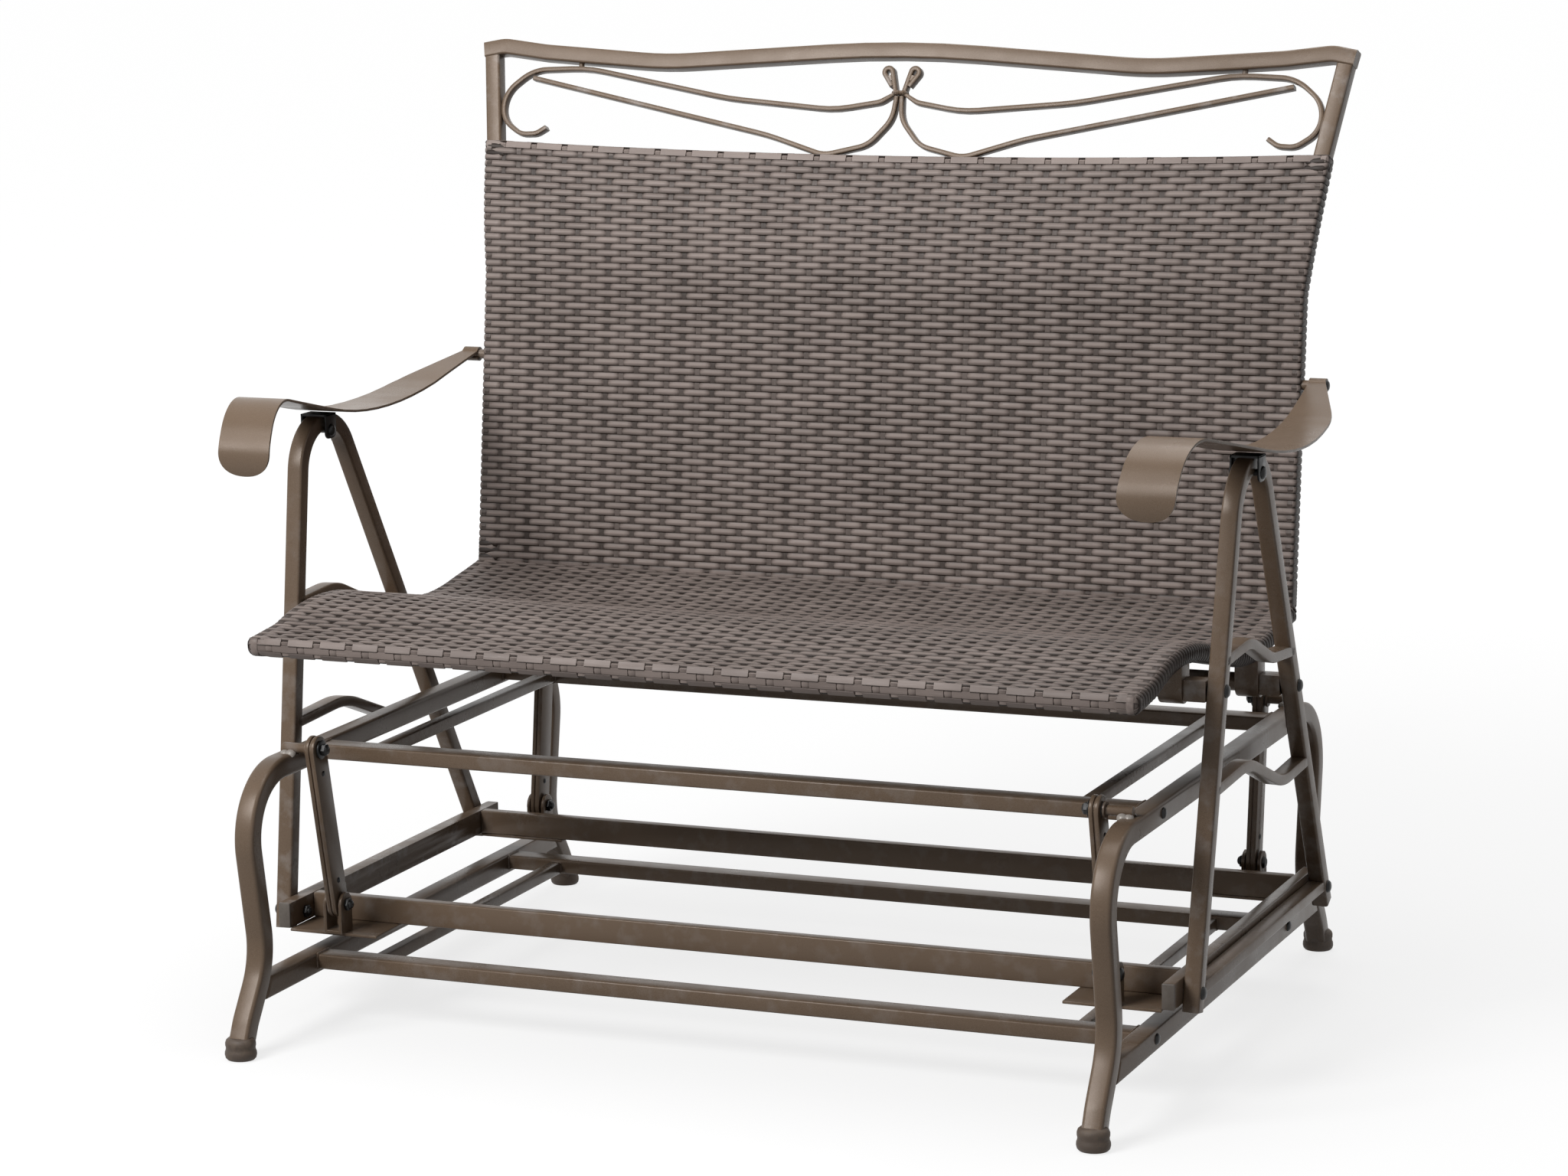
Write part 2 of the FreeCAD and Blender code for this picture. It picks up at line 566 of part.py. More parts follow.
def make_hangers():
    """U-shaped hangers on welded plates that carry the glider on the links' lower pivots."""
    bolts = []
    for end in ("front", "rear"):
        y, z = lower_pivot(end)
        ears = []
        gap, thick = "clevis_gap / 2", "ear_thick"
        for side, near_face, far_face in (("outer", f"link_x + {gap}", f"link_x + {gap} + {thick}"),
                                          ("inner", f"link_x - {gap} - {thick}",
                                           f"link_x - {gap}")):
            ears.append(pin(f"ear_{end}_{side}_round", (near_face, far_face), y, z,
                            f"ear_wide / 2 / cos(180 deg / {PIN_SIDES})", PIN_SIDES))
            ears.append(block(f"ear_{end}_{side}", (near_face, far_face),
                              (f"{y} - ear_wide / 2", f"{y} + ear_wide / 2"), ("rail_low", z)))
        floor = block(f"ear_{end}_floor", (f"link_x - {gap} - {thick}", f"link_x + {gap} + {thick}"),
                      (f"{y} - ear_wide / 2", f"{y} + ear_wide / 2"),
                      ("rail_low", f"rail_low + {thick}"))
        plate_span = {"front": ("plate_front", "cross_front + rail_thick"),
                      "rear": ("cross_rear", "plate_rear")}[end]
        plate = block(f"plate_{end}", ("plate_inner_x", "rail_x"), plate_span,
                      ("rail_low - plate_thick", "rail_low"))
        solid = combine("MultiFuse", f"hanger_{end}_solid", Shapes=ears + [floor, plate])
        bore = pin(f"hanger_{end}_bore", (f"link_x - {gap} - {thick} - 1",
                                          f"link_x + {gap} + {thick} + 1"), y, z, "pin_radius",
                   PIN_SIDES)
        hanger = combine("Cut", f"hanger_{end}", Base=solid, Tool=bore)
        keep(f"hanger_{end}_right", hanger)
        keep(f"hanger_{end}_left", twin(f"hanger_{end}_left", hanger))

        ear_out, ear_in = f"link_x + {gap} + {thick}", f"link_x - {gap} - {thick}"
        shank = pin(f"hanger_bolt_{end}_shank", (ear_in, ear_out), y, z, "pin_radius", PIN_SIDES)
        nut = pin(f"hanger_bolt_{end}_nut", (f"{ear_in} - 8", ear_in), y, z, "pin_radius * 1.75",
                  NUT_SIDES)
        head = pin(f"hanger_bolt_{end}_head", (ear_out, f"{ear_out} + 4"), y, z,
                   "pin_radius * 1.75", HEAD_SIDES)
        bolts.append(combine("MultiFuse", f"hanger_bolt_{end}", Shapes=[shank, nut, head]))
    bolts += [twin(bolt.Name + "_left", bolt) for bolt in bolts]
    keep("hanger_bolts", combine("Compound", "all_hanger_bolts", Links=bolts))


def make_glider_rails():
    """The rectangle of rails at the foot of the glider."""
    level = ("rail_low", "rail_low + rail_tall")
    outer = "rail_x + rail_thick"
    rail = block("glider_rail", ("rail_x", outer), ("rail_front", "rail_rear"), level)
    keep("glider_side_rail_right", rail)
    keep("glider_side_rail_left", twin("glider_rail_left", rail))
    for end in ("front", "rear"):
        face = f"cross_{end}"
        keep(f"glider_cross_rail_{end}", block(f"glider_cross_{end}", ("-rail_x", "rail_x"),
                                               (face, f"{face} + rail_thick"), level))
    caps = [block("cap_front", ("rail_x", outer), ("rail_front - cap_thick", "rail_front"), level),
            block("cap_rear", ("rail_x", outer), ("rail_rear", "rail_rear + cap_thick"), level)]
    caps += [twin(cap.Name + "_left", cap) for cap in caps]
    keep("rail_end_caps", combine("Compound", "all_caps", Links=caps))


def side_frame_turn():
    """The lean of a side frame about its foot, for pieces drawn upright at the rail's face."""
    foot = Vector(value("rail_x + rail_thick"), 0, value("rail_low"))
    return Placement(Vector(), Rotation(Vector(0, 1, 0), value("side_lean")), foot)


def leaned(piece):
    """A piece made upright, turned with the side frame."""
    piece.Placement = side_frame_turn() * piece.Placement
    return piece


def make_side_frames():
    """A-shaped frames with a rounded top, a stretcher and two waved cross bars."""
    middle = "rail_x + rail_thick + side_tube / 2"
    upright = bent_tube("frame_upright", bend_rows("frame"), "side_tube", "side_tube")
    move(upright, SIDEWAYS, middle)
    doc.recompute()
    frame = leaned(built("side_frame", upright.Shape))
    keep("side_frame_right", frame)
    keep("side_frame_left", twin("side_frame_left", frame))

    stretcher_blank = block("stretcher_blank", ("rail_x + rail_thick",
                                                "rail_x + rail_thick + side_tube"),
                            ("frame_a0 + 8", "frame_a2 - 14"),
                            ("stretcher_low", "stretcher_low + bar_flat"))
    stretcher = leaned(combine("Cut", "stretcher", Base=stretcher_blank, Tool=upright))
    keep("side_stretcher_right", stretcher)
    keep("side_stretcher_left", twin("stretcher_left", stretcher))

    waves = []
    for name in ("wave_low", "wave_high"):
        bar = bent_tube(name, bend_rows(name), "side_tube", "bar_flat")
        move(bar, SIDEWAYS, middle)
        waves.append(leaned(combine("Cut", name + "_bar", Base=bar, Tool=upright)))
    braces = combine("Compound", "braces", Links=waves)
    keep("side_braces_right", braces)
    keep("side_braces_left", twin("braces_left", braces))


def frame_face(z, outward=0):
    """X of the side frame's inner or outer face at a height."""
    lean_angle = math.radians(value("side_lean"))
    return (value("rail_x + rail_thick") + math.tan(lean_angle) * (z - value("rail_low"))
            + outward * value("side_tube") / math.cos(lean_angle))


def through_bolt(x_inner, x_outer, y, z, nut=True):
    """A bolt along X with a low round head outside and a nut inside."""
    bolt = peg(x_inner, x_outer, y, z, value("bolt_radius"), NUT_SIDES)
    bolt = bolt.fuse(peg(x_outer, x_outer + value("dome_tall"), y, z, value("dome_radius"),
                         HEAD_SIDES))
    if nut:
        bolt = bolt.fuse(peg(x_inner - value("nut_tall"), x_inner, y, z, value("dome_radius"),
                             NUT_SIDES))
    return bolt.removeSplitter()


def back_path():
    """The middle line of a back upright: foot, knee and crown."""
    crown_rise = value("crown_z - knee_z")
    points = [Vector(value("upright_x"), value("foot_of_back_y"), value("foot_of_back_z")),
              Vector(value("upright_x"), value("knee_y"), value("knee_z")),
              Vector(value("upright_x") + value("back_flare") * crown_rise,
                     value("knee_y") + value("back_slope") * crown_rise, value("crown_z"))]
    return points, [0, value("knee_radius"), 0]


def back_plane(offset=0.0):
    """Placement of the sloping plane above the knee: x across, y up the slope, z to the front."""
    slope = math.degrees(math.atan(value("back_slope")))
    turn = Rotation(Vector(1, 0, 0), -slope) * FACING
    return Placement(Vector(0, value("knee_y"), value("knee_z")) + turn.multVec(
        Vector(0, 0, offset)), turn)


def up_slope(z):
    """Distance up the slope from the knee to a height."""
    return (z - value("knee_z")) * math.hypot(1, value("back_slope"))


def make_back():
    """Uprights, crest rail and hidden rails of the back, and the weave round them."""
    points, radii = back_path()
    side = value("upright_side")
    thick = value("back_thick")
    upright = swept_bar(points, radii, Vector(1, 0, 0), side, side)

    crest_rows = bend_rows("crest", "({} - knee_z) * sqrt(1 + back_slope ^ 2)")
    crest = bent_tube("crest", crest_rows + mirrored_rows(crest_rows[:-1]), "upright_side",
                      "crest_tall")
    crest.Placement = back_plane()
    doc.recompute()
    keep("crest_rail", crest)
    upright = upright.cut(crest.Shape)
    other = mirrored(upright)
    keep("back_upright_right", built("upright_right", upright))
    keep("back_upright_left", built("upright_left", other))

    reach = value("upright_x") + side / 2
    hidden = []
    slope_y = value("knee_y") - value("back_slope") * value("knee_z")
    for z, y in ((value("back_high - back_sag") - 10, None), (value("back_low") + 12, None)):
        if z > value("knee_z"):
            y = slope_y + value("back_slope") * z
        else:
            y = points[0].y + (points[1].y - points[0].y) * (z - points[0].z) / (
                points[1].z - points[0].z)
        half = value("hidden_side") / 2
        rail = span_block(Vector(-reach, y - half, z - half), Vector(reach, y + half, z + half))
        hidden.append(rail.cut(upright).cut(other))
    keep("back_inner_rails", built("inner_rails", Part.makeCompound(hidden)))

    flat = [Vector(0, point.y, point.z) for point in points]
    sheet_solid = swept_bar(flat, radii, ACROSS, 4 * reach, thick)
    low, high = value("back_low"), value("back_high")
    wrap = reach + 2.5
    corner = wrap + value("back_flare") * (high - value("knee_z")) * 0.95
    knee = value("knee_z") - 45
    top_arc = Part.Arc(Vector(corner, 0, high), Vector(0, 0, high - value("back_sag")),
                       Vector(-corner, 0, high))
    outline = Part.Wire([
        Part.LineSegment(Vector(-wrap, 0, low), Vector(wrap, 0, low)).toShape(),
        Part.LineSegment(Vector(wrap, 0, low), Vector(wrap, 0, knee)).toShape(),
        Part.LineSegment(Vector(wrap, 0, knee), Vector(corner, 0, high)).toShape(),
        top_arc.toShape(),
        Part.LineSegment(Vector(-corner, 0, high), Vector(-wrap, 0, knee)).toShape(),
        Part.LineSegment(Vector(-wrap, 0, knee), Vector(-wrap, 0, low)).toShape()])
    weave = sheet_solid.common(Part.Face(outline).extrude(Vector(0, 600, 0)))
    edge = value("pocket_edge")
    hollow = swept_bar(flat, radii, ACROSS, 2 * (wrap - edge), thick,
                       -value("weave_thick"))
    hollow = hollow.common(span_block(Vector(-reach, 0, low + edge),
                                      Vector(reach, 600, high - value("back_sag") - edge)))
    for tool in [hollow, upright, other] + hidden:
        weave = weave.cut(tool)
    keep("back_weave", built("back_weave", weave))
    return upright, other


def make_seat(upright, other):
    """A contoured frame of tubes wrapped in weave, carried on two cross tubes."""
    pairs, radii = table_points("seat")
    points = [Vector(0, y, z) for y, z in pairs]
    thick, half = value("seat_thick"), value("seat_half")
    tube, wrap = value("seat_tube"), value("seat_wrap")
    front, rear = points[0].y + wrap, value("foot_of_back_y")
    side_x = half - wrap - tube / 2
    frame = None
    for sign in (-1, 1):
        shifted = [point + Vector(sign * side_x, 0, 0) for point in points]
        rail = swept_bar(shifted, radii, ACROSS, tube, tube, -thick / 2)
        rail = rail.common(span_block(Vector(-half, front, 300), Vector(half, rear, 600)))
        frame = rail if frame is None else frame.fuse(rail)
    for y, z in ((front, points[0].z - thick / 2 + 1), (rear - 35, points[-1].z - thick / 2 - 4)):
        frame = frame.fuse(span_block(Vector(-side_x, y, z - tube / 2),
                                      Vector(side_x, y + tube, z + tube / 2)))
    frame = frame.removeSplitter().cut(upright).cut(other)
    keep("seat_frame", built("seat_frame", frame))

    outer = swept_bar(points, radii, ACROSS, 2 * half, thick, -thick / 2)
    edge = tube + 2 * wrap
    hollow = swept_bar(points, radii, ACROSS, 2 * (half - edge), thick,
                       -value("weave_thick") - thick / 2)
    hollow = hollow.common(span_block(Vector(-half, points[0].y + edge, 300),
                                      Vector(half, points[-1].y - edge - 10, 600)))
    weave = outer.cut(hollow).cut(frame).cut(upright).cut(other)
    keep("seat_weave", built("seat_weave", weave))

    radius = value("carrier_radius")
    for end in ("front", "rear"):
        y, z = value(f"carrier_{end}_y"), value(f"carrier_{end}_z")
        stub = frame_face(z) - 0.35
        carrier = peg(-stub, stub, y, z, radius, ROUND_SIDES)
        for sign in (-1, 1):
            saddle = span_block(Vector(sign * side_x - tube / 2, y - tube, z),
                                Vector(sign * side_x + tube / 2, y + tube, z + 60))
            carrier = carrier.fuse(saddle.cut(outer.fuse(frame)).Solids[0])
        keep(f"seat_cross_tube_{end}", built(f"carrier_{end}", carrier.removeSplitter()))


def arm_plan():
    """Outline of an armrest seen from above: bowed outward, narrowed towards the back."""
    outer, neck, inner = ([Vector(x, y, 0) for y, x in ARM_PLAN[name]]
                          for name in ("outer", "neck", "inner"))
    return Part.Wire([Part.Arc(*outer).toShape(),
                      Part.Arc(outer[2], *neck).toShape(),
                      Part.LineSegment(neck[1], inner[0]).toShape(),
                      Part.Arc(*inner).toShape(),
                      Part.LineSegment(inner[2], outer[0]).toShape()])


def arm_front():
    """The room an armrest may fill: a hanging tip with round corners, and all that is above."""
    middle, half = value("arm_tip_x"), value("arm_wide / 2")
    front, rear = value("arm_a1") - half, value("arm_a4") + half
    low = value("arm_b0") - value("arm_thick")
    shoulder = low + value("arm_tip") * 1.4
    corners = [Vector(middle + x, front, z) for x, z in ((-half, shoulder), (-half, low),
                                                         (half, low), (half, shoulder))]
    edges = bent_edges(corners, [0, value("arm_tip"), value("arm_tip"), 0])
    edges.append(Part.LineSegment(corners[-1], corners[0]))
    tip = Part.Face(Part.Wire([edge.toShape() for edge in edges])).extrude(
        Vector(0, rear - front, 0))
    above = span_block(Vector(middle - 3 * half, front, shoulder),
                       Vector(middle + 3 * half, rear, shoulder + 4 * half))
    return tip.fuse(above)


def make_arms(upright, frame_tube):
    """Armrests of flat strap, with a bracket over the side frame and a barrel at the back."""
    pairs, radii = table_points("arm")
    points = [Vector(value("arm_neck_x"), y, z) for y, z in pairs]
    thick = value("arm_thick")
    strap = swept_bar(points, radii, ACROSS, 6 * value("arm_wide"), thick, -thick / 2)
    strap = strap.common(Part.Face(arm_plan()).extrude(Vector(0, 0, 2 * pairs[2][1])))
    strap = strap.common(arm_front())
    face = value("upright_x + upright_side / 2")
    y, z = value("barrel_y"), value("barrel_z")
    barrel = peg(face + 0.2, value("arm_neck_x"), y, z, value("barrel_radius"), PIN_SIDES)
    strap = strap.fuse(barrel).removeSplitter()
    hole = peg(face, 2 * face, y, z, value("bolt_radius"), NUT_SIDES)
    arm = strap.cut(hole)
    keep("armrest_right", built("arm_right", arm))
    keep("armrest_left", built("arm_left", mirrored(arm)))
    drill("back_weave", [arm, mirrored(arm)])

    middle, half = value("rail_x + rail_thick + side_tube / 2"), value("side_tube / 2")
    wall, reach = value("saddle_wall"), value("saddle_half")
    y, top = value("saddle_bolt_y"), value("saddle_top")
    channel = span_block(Vector(middle - half - wall, y - reach, value("saddle_low")),
                         Vector(middle + half + wall, y + reach, top + 2 * wall))
    room = span_block(Vector(middle - half - 0.1, y - 2 * reach, value("saddle_low") - wall),
                      Vector(middle + half + 0.1, y + 2 * reach, top))
    bracket = leaned(built("bracket_blank", channel.cut(room))).Shape
    bracket = bracket.cut(strap).cut(frame_tube).Solids[0]
    keep("arm_bracket_right", built("bracket_right", bracket))
    keep("arm_bracket_left", built("bracket_left", mirrored(bracket)))


def drill(label, tools):
    """Cut bolt holes through a finished piece, which keeps its label."""
    whole = pieces[label]
    cut_shape = whole.Shape
    for tool in tools:
        cut_shape = cut_shape.cut(tool)
    keep(label, built(whole.Name + "_drilled", cut_shape))


def make_frame_bolts():
    """Bolts along X: four feet of the side frames, four seat stubs, brackets and barrels."""
    wall = value("saddle_wall")
    low, high = value("low_bolt_z"), value("saddle_bolt_z")
    face = value("upright_x + upright_side / 2")
    spots = [(frame_face(high) - wall, frame_face(high, 1) + wall, value("saddle_bolt_y"), high),
             (face - value("upright_side"), value("arm_neck_x"), value("barrel_y"),
              value("barrel_z"))]
    for end in ("front", "rear"):
        spots.append((value("rail_x"), frame_face(low, 1), value(f"low_bolt_{end}"), low))
        z = value(f"carrier_{end}_z")
        spots.append((frame_face(z) - value("carrier_radius") * 2, frame_face(z, 1),
                      value(f"carrier_{end}_y"), z, False))
    bolts = [through_bolt(*spot) for spot in spots]
    others = [mirrored(bolt) for bolt in bolts]
    for side, tools in (("right", bolts), ("left", others)):
        for label in ("side_frame", "glider_side_rail", "back_upright", "armrest",
                      "side_stretcher", "arm_bracket"):
            drill(f"{label}_{side}", tools)
    for label in ("back_weave", "seat_cross_tube_front", "seat_cross_tube_rear"):
        drill(label, bolts + others)
    keep("frame_bolts", built("all_frame_bolts", Part.makeCompound(bolts + others)))


def scroll_shape(name):
    """One flat bar bent in the sloping plane of the back."""
    pairs, radii = table_points(name)
    points = [Vector(x, up_slope(z), 0) for x, z in pairs]
    return swept_bar(points, radii, Vector(0, 0, 1), value("scroll_deep"), value("scroll_bar"))


def make_scrolls():
    """Two flat bars a side between the crest rail and the weave, tied by a collar and studs."""
    deep = value("scroll_deep")
    curl_centre = Vector(value("curl_x"), up_slope(value("curl_z")), -deep / 2)
    through = Vector(0, 0, deep)
    curl = stick(curl_centre, through, value("curl_radius"), ROUND_SIDES)
    top = scroll_shape("scroll_top")
    low = scroll_shape("scroll_low").cut(top)
    eye = stick(curl_centre, through, value("curl_eye"), HEAD_SIDES)
    scroll = max(top.fuse(curl).cut(eye).fuse(low).removeSplitter().Solids, key=lambda s: s.Volume)
    plane = back_plane()
    crest = pieces["crest_rail"].Shape
    weave = pieces["back_weave"].Shape
    scroll.Placement = plane
    studs = []
    for x, z, dx, dz, reach in ((440, 1094, 0.15, 1, 9), (78, 993, 0, -1, 6),
                                (541, 1043, 1, 0, 16)):
        base = plane.multVec(Vector(x, up_slope(z), 0))
        along = plane.Rotation.multVec(Vector(dx, dz, 0)).normalize() * reach
        studs.append(stick(base, along, value("stud_radius"), HEAD_SIDES))
    collar = span_block(Vector(-12, up_slope(1062), -deep / 2 - 2),
                        Vector(12, up_slope(1072), deep / 2 + 2))
    collar.Placement = plane
    other = mirrored(scroll)
    keep("scroll_right", built("scroll_right", scroll))
    keep("scroll_left", built("scroll_left", other))
    solids = studs + [mirrored(stud) for stud in studs] + [collar]
    trimmed = []
    for solid in solids:
        for tool in (scroll, other, crest, weave, pieces["back_upright_right"].Shape,
                     pieces["back_upright_left"].Shape):
            solid = solid.cut(tool)
            if solid.isNull():
                raise RuntimeError(f"nothing is left of stud {len(trimmed)} after {tool.BoundBox}")
        trimmed.append(max(solid.Solids, key=lambda part: part.Volume))
    keep("scroll_studs_and_collar", built("scroll_studs", Part.makeCompound(trimmed)))


def check_and_write():
    """Check the state of every object and the shape of every piece, then write the files."""
    doc.recompute()
    broken = [item.Name for item in doc.Objects if set(item.State) & {"Invalid", "Error"}]
    if broken:
        raise RuntimeError(f"these objects did not compute: {broken}")
    for label, piece in pieces.items():
        if piece.Shape.isNull() or not piece.Shape.isValid():
            raise RuntimeError(f"{label} has no valid shape")
    os.makedirs("parts", exist_ok=True)
    for label, piece in pieces.items():
        piece.Shape.exportStep(f"parts/{label}.step")
    print(len(pieces), "pieces written")


make_base()
make_pivots()
make_links()
make_hangers()
make_glider_rails()
make_side_frames()
doc.recompute()
uprights = make_back()
make_seat(*uprights)
make_arms(uprights[0], pieces["side_frame_right"].Shape)
make_frame_bolts()
make_scrolls()
check_and_write()
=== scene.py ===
"""Glider bench: a bent-tube base, swing links, side frames, a woven seat and back, and scrollwork.

Every size is in millimetres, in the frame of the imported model: +X along the seat, +Y to the back,
+Z up, with the origin on the floor under the middle. Right-hand pieces stand at +X.
"""

import json
import logging
import math
from dataclasses import dataclass, field
from enum import Enum
from typing import Callable, Iterable, Optional, Sequence

import bmesh
import bpy
import numpy as np
from mathutils import Matrix, Vector

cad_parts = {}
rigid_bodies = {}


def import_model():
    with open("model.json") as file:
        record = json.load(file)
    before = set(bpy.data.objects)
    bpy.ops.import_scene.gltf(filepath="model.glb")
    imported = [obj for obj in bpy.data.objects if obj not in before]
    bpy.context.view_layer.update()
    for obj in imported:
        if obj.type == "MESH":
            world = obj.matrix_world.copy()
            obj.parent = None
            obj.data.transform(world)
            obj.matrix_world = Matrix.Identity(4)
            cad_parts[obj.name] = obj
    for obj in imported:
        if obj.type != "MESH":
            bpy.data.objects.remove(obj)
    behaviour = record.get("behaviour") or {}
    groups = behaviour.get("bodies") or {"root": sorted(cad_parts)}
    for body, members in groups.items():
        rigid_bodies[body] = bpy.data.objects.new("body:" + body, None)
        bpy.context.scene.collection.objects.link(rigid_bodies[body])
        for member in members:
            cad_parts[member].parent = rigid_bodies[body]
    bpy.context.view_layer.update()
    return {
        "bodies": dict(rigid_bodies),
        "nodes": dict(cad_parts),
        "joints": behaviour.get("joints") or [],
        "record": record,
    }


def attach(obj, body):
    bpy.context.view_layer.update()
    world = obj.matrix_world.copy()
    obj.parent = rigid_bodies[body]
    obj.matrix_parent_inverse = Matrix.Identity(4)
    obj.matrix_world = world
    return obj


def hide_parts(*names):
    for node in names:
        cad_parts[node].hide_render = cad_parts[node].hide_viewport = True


log = logging.getLogger("glider_bench")

# Two sizes or places, such as Y and Z, or radius and height
Pair = tuple[float, float]
# Three places, or two of them and the radius of the bend there
Corner = tuple[float, float, float]
# Red, green and blue
Colour = tuple[float, float, float]

# A millimetre in metres, and the ways outward and inward on the right side
MM = 0.001
ACROSS = np.array((1.0, 0.0, 0.0))
INWARD = np.array((-1.0, 0.0, 0.0))
# Y and Z of the front and rear pivot rods
ROD_SPOTS: tuple[Pair, ...] = ((-307.7, 343.0), (316.9, 343.0))
# Y, Z and bend radius along the top of the seat
SEAT_LINE: tuple[Corner, ...] = ((-354, 481.5, 0), (-290, 487, 100), (-193, 514.5, 340),
                                 (90, 450, 346), (266, 476, 0))


class Place(Enum):
    """A choice of place on the bench."""

    @property
    def word(self) -> str:
        """The place as node names spell it."""
        return self.name.lower()


class Side(Place):
    """The two sides of the bench, as seen from the front."""

    RIGHT = 1
    LEFT = -1


class End(Place):
    """The front and the rear of the bench."""

    FRONT = -1
    REAR = 1


class Slot(Enum):
    """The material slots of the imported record."""

    POWDER_COAT = "powder_coat"
    RESIN_WICKER = "resin_wicker"
    BLACK_STEEL = "black_steel"
    BLACK_NYLON = "black_nylon"
    RUBBER = "rubber"


# Shapes


def unit(vectors: np.ndarray) -> np.ndarray:
    """Vectors in rows, each brought to a length of one."""
    return vectors / np.linalg.norm(vectors, axis=1)[:, None]


def directions(line: np.ndarray) -> np.ndarray:
    """The direction of a line at each of its points."""
    return unit(np.gradient(line, axis=0))


def distances(line: np.ndarray) -> np.ndarray:
    """How far along a line each of its points lies."""
    return np.concatenate(([0], np.cumsum(np.linalg.norm(np.diff(line, axis=0), axis=1))))


def resampled(line: np.ndarray, at: np.ndarray) -> np.ndarray:
    """The points of a line at chosen distances along it."""
    return np.column_stack([np.interp(at, distances(line), column) for column in line.T])


def rectangle(low: Pair, high: Pair) -> np.ndarray:
    """Outline of a rectangle between two opposite corners, counter-clockwise."""
    return np.array((low, (high[0], low[1]), high, (low[0], high[1])))


def at_x(x: float, line: np.ndarray) -> np.ndarray:
    """A line in Y and Z, stood at one X."""
    return np.column_stack((np.full(len(line), x), line))


@dataclass
class Shape:
    """Points and faces of a piece while it is built, in millimetres.

    Attributes:
        points: the points, one in each row.
        faces: the numbers of each face's points, counter-clockwise from outside.
        tone: how light the finish is at each point, with painted shade in it, if it varies.
    """

    points: np.ndarray
    faces: list[tuple[int, ...]]
    tone: Optional[np.ndarray] = None

    @staticmethod
    def joined(shapes: Iterable["Shape"]) -> "Shape":
        """Several shapes as one.

        Args:
            shapes: the shapes, each of which keeps its own points.

        Returns:
            One shape with all their points and faces.
        """
        points, faces, tones, start = [], [], [], 0
        for shape in shapes:
            points.append(shape.points)
            faces.extend(tuple(i + start for i in face) for face in shape.faces)
            tones.append(shape.tone if shape.tone is not None else np.zeros(len(shape.points)))
            start += len(shape.points)
        return Shape(np.vstack(points), faces, np.concatenate(tones))

    def mirrored(self) -> "Shape":
        """The same shape on the other side of the bench, with its faces turned outward again."""
        return Shape(self.points * (-1, 1, 1), [face[::-1] for face in self.faces], self.tone)

    def on(self, side: Side) -> "Shape":
        """This right-hand shape, on the side asked for."""
        return self if side is Side.RIGHT else self.mirrored()

    def both(self) -> "Shape":
        """This right-hand shape together with its mirror image."""
        return Shape.joined((self, self.mirrored()))

    def placed(self, matrix: Matrix) -> "Shape":
        """The shape moved by a matrix whose lengths are millimetres."""
        turn = np.array(matrix.to_3x3())
        return Shape(self.points @ turn.T + np.array(matrix.translation), self.faces, self.tone)

    def mesh(self, name: str, sharp: float = 38.0) -> bpy.types.Mesh:
        """The shape as a Blender mesh in metres.

        Args:
            name: the mesh's name.
            sharp: edges turned by more degrees than this stay crisp.

        Returns:
            The mesh, shaded smooth between its crisp edges.
        """
        mesh = bpy.data.meshes.new(name)
        mesh.from_pydata((self.points * MM).tolist(), [], self.faces)
        # the tone attribute carries the strands' own tone together with their painted shade
        if self.tone is not None:
            layer = mesh.attributes.new("tone", "FLOAT", "POINT")
            layer.data.foreach_set("value", self.tone.astype(np.float32))
        mesh.polygons.foreach_set("use_smooth", [True] * len(mesh.polygons))
        mesh.set_sharp_from_angle(angle=math.radians(sharp))
        mesh.update()
        return mesh


def rounded_line(corners: Sequence[Sequence[float]], radii: Sequence[float],
                 step: float = 4.0) -> np.ndarray:
    """A line of straight runs with a round bend in each corner.

    Args:
        corners: the points where the runs would meet, in a plane or in space.
        radii: one radius for each corner, of which the first and last are not used.
        step: degrees of turn between two points of a bend.

    Returns:
        The points along the line.
    """
    points = [np.asarray(corner, float) for corner in corners]
    line = [points[0]]
    for before, corner, after, radius in zip(points, points[1:], points[2:], radii[1:]):
        back = (before - corner) / np.linalg.norm(before - corner)
        onward = (after - corner) / np.linalg.norm(after - corner)
        half = math.acos(float(np.clip(back @ onward, -1, 1))) / 2
        inward = (back + onward) / np.linalg.norm(back + onward)
        centre = corner + inward * radius / math.sin(half)
        start = corner + back * radius / math.tan(half)
        spoke = (start - centre) / radius
        turn = math.pi - 2 * half
        count = max(2, math.ceil(math.degrees(turn) / step))
        for index in range(count + 1):
            angle = turn * index / count
            line.append(centre + radius * (spoke * math.cos(angle) - back * math.sin(angle)))
    line.append(points[-1])
    kept = [line[0]]
    for point in line[1:]:
        if np.linalg.norm(point - kept[-1]) > 0.05:
            kept.append(point)
    return np.array(kept)


def bend_line(table: Sequence[Corner], mirrored: bool = False, step: float = 4.0) -> np.ndarray:
    """The line of a bend table.

    Args:
        table: two coordinates and a bend radius for each corner.
        mirrored: whether the line goes on through its mirror image.
        step: degrees of turn between two points of a bend.

    Returns:
        The points along the line.
    """
    rows = list(table)
    if mirrored:
        rows += [(-a, b, radius) for a, b, radius in reversed(rows) if abs(a) > 1e-6]
    return rounded_line([row[:2] for row in rows], [row[2] for row in rows], step)


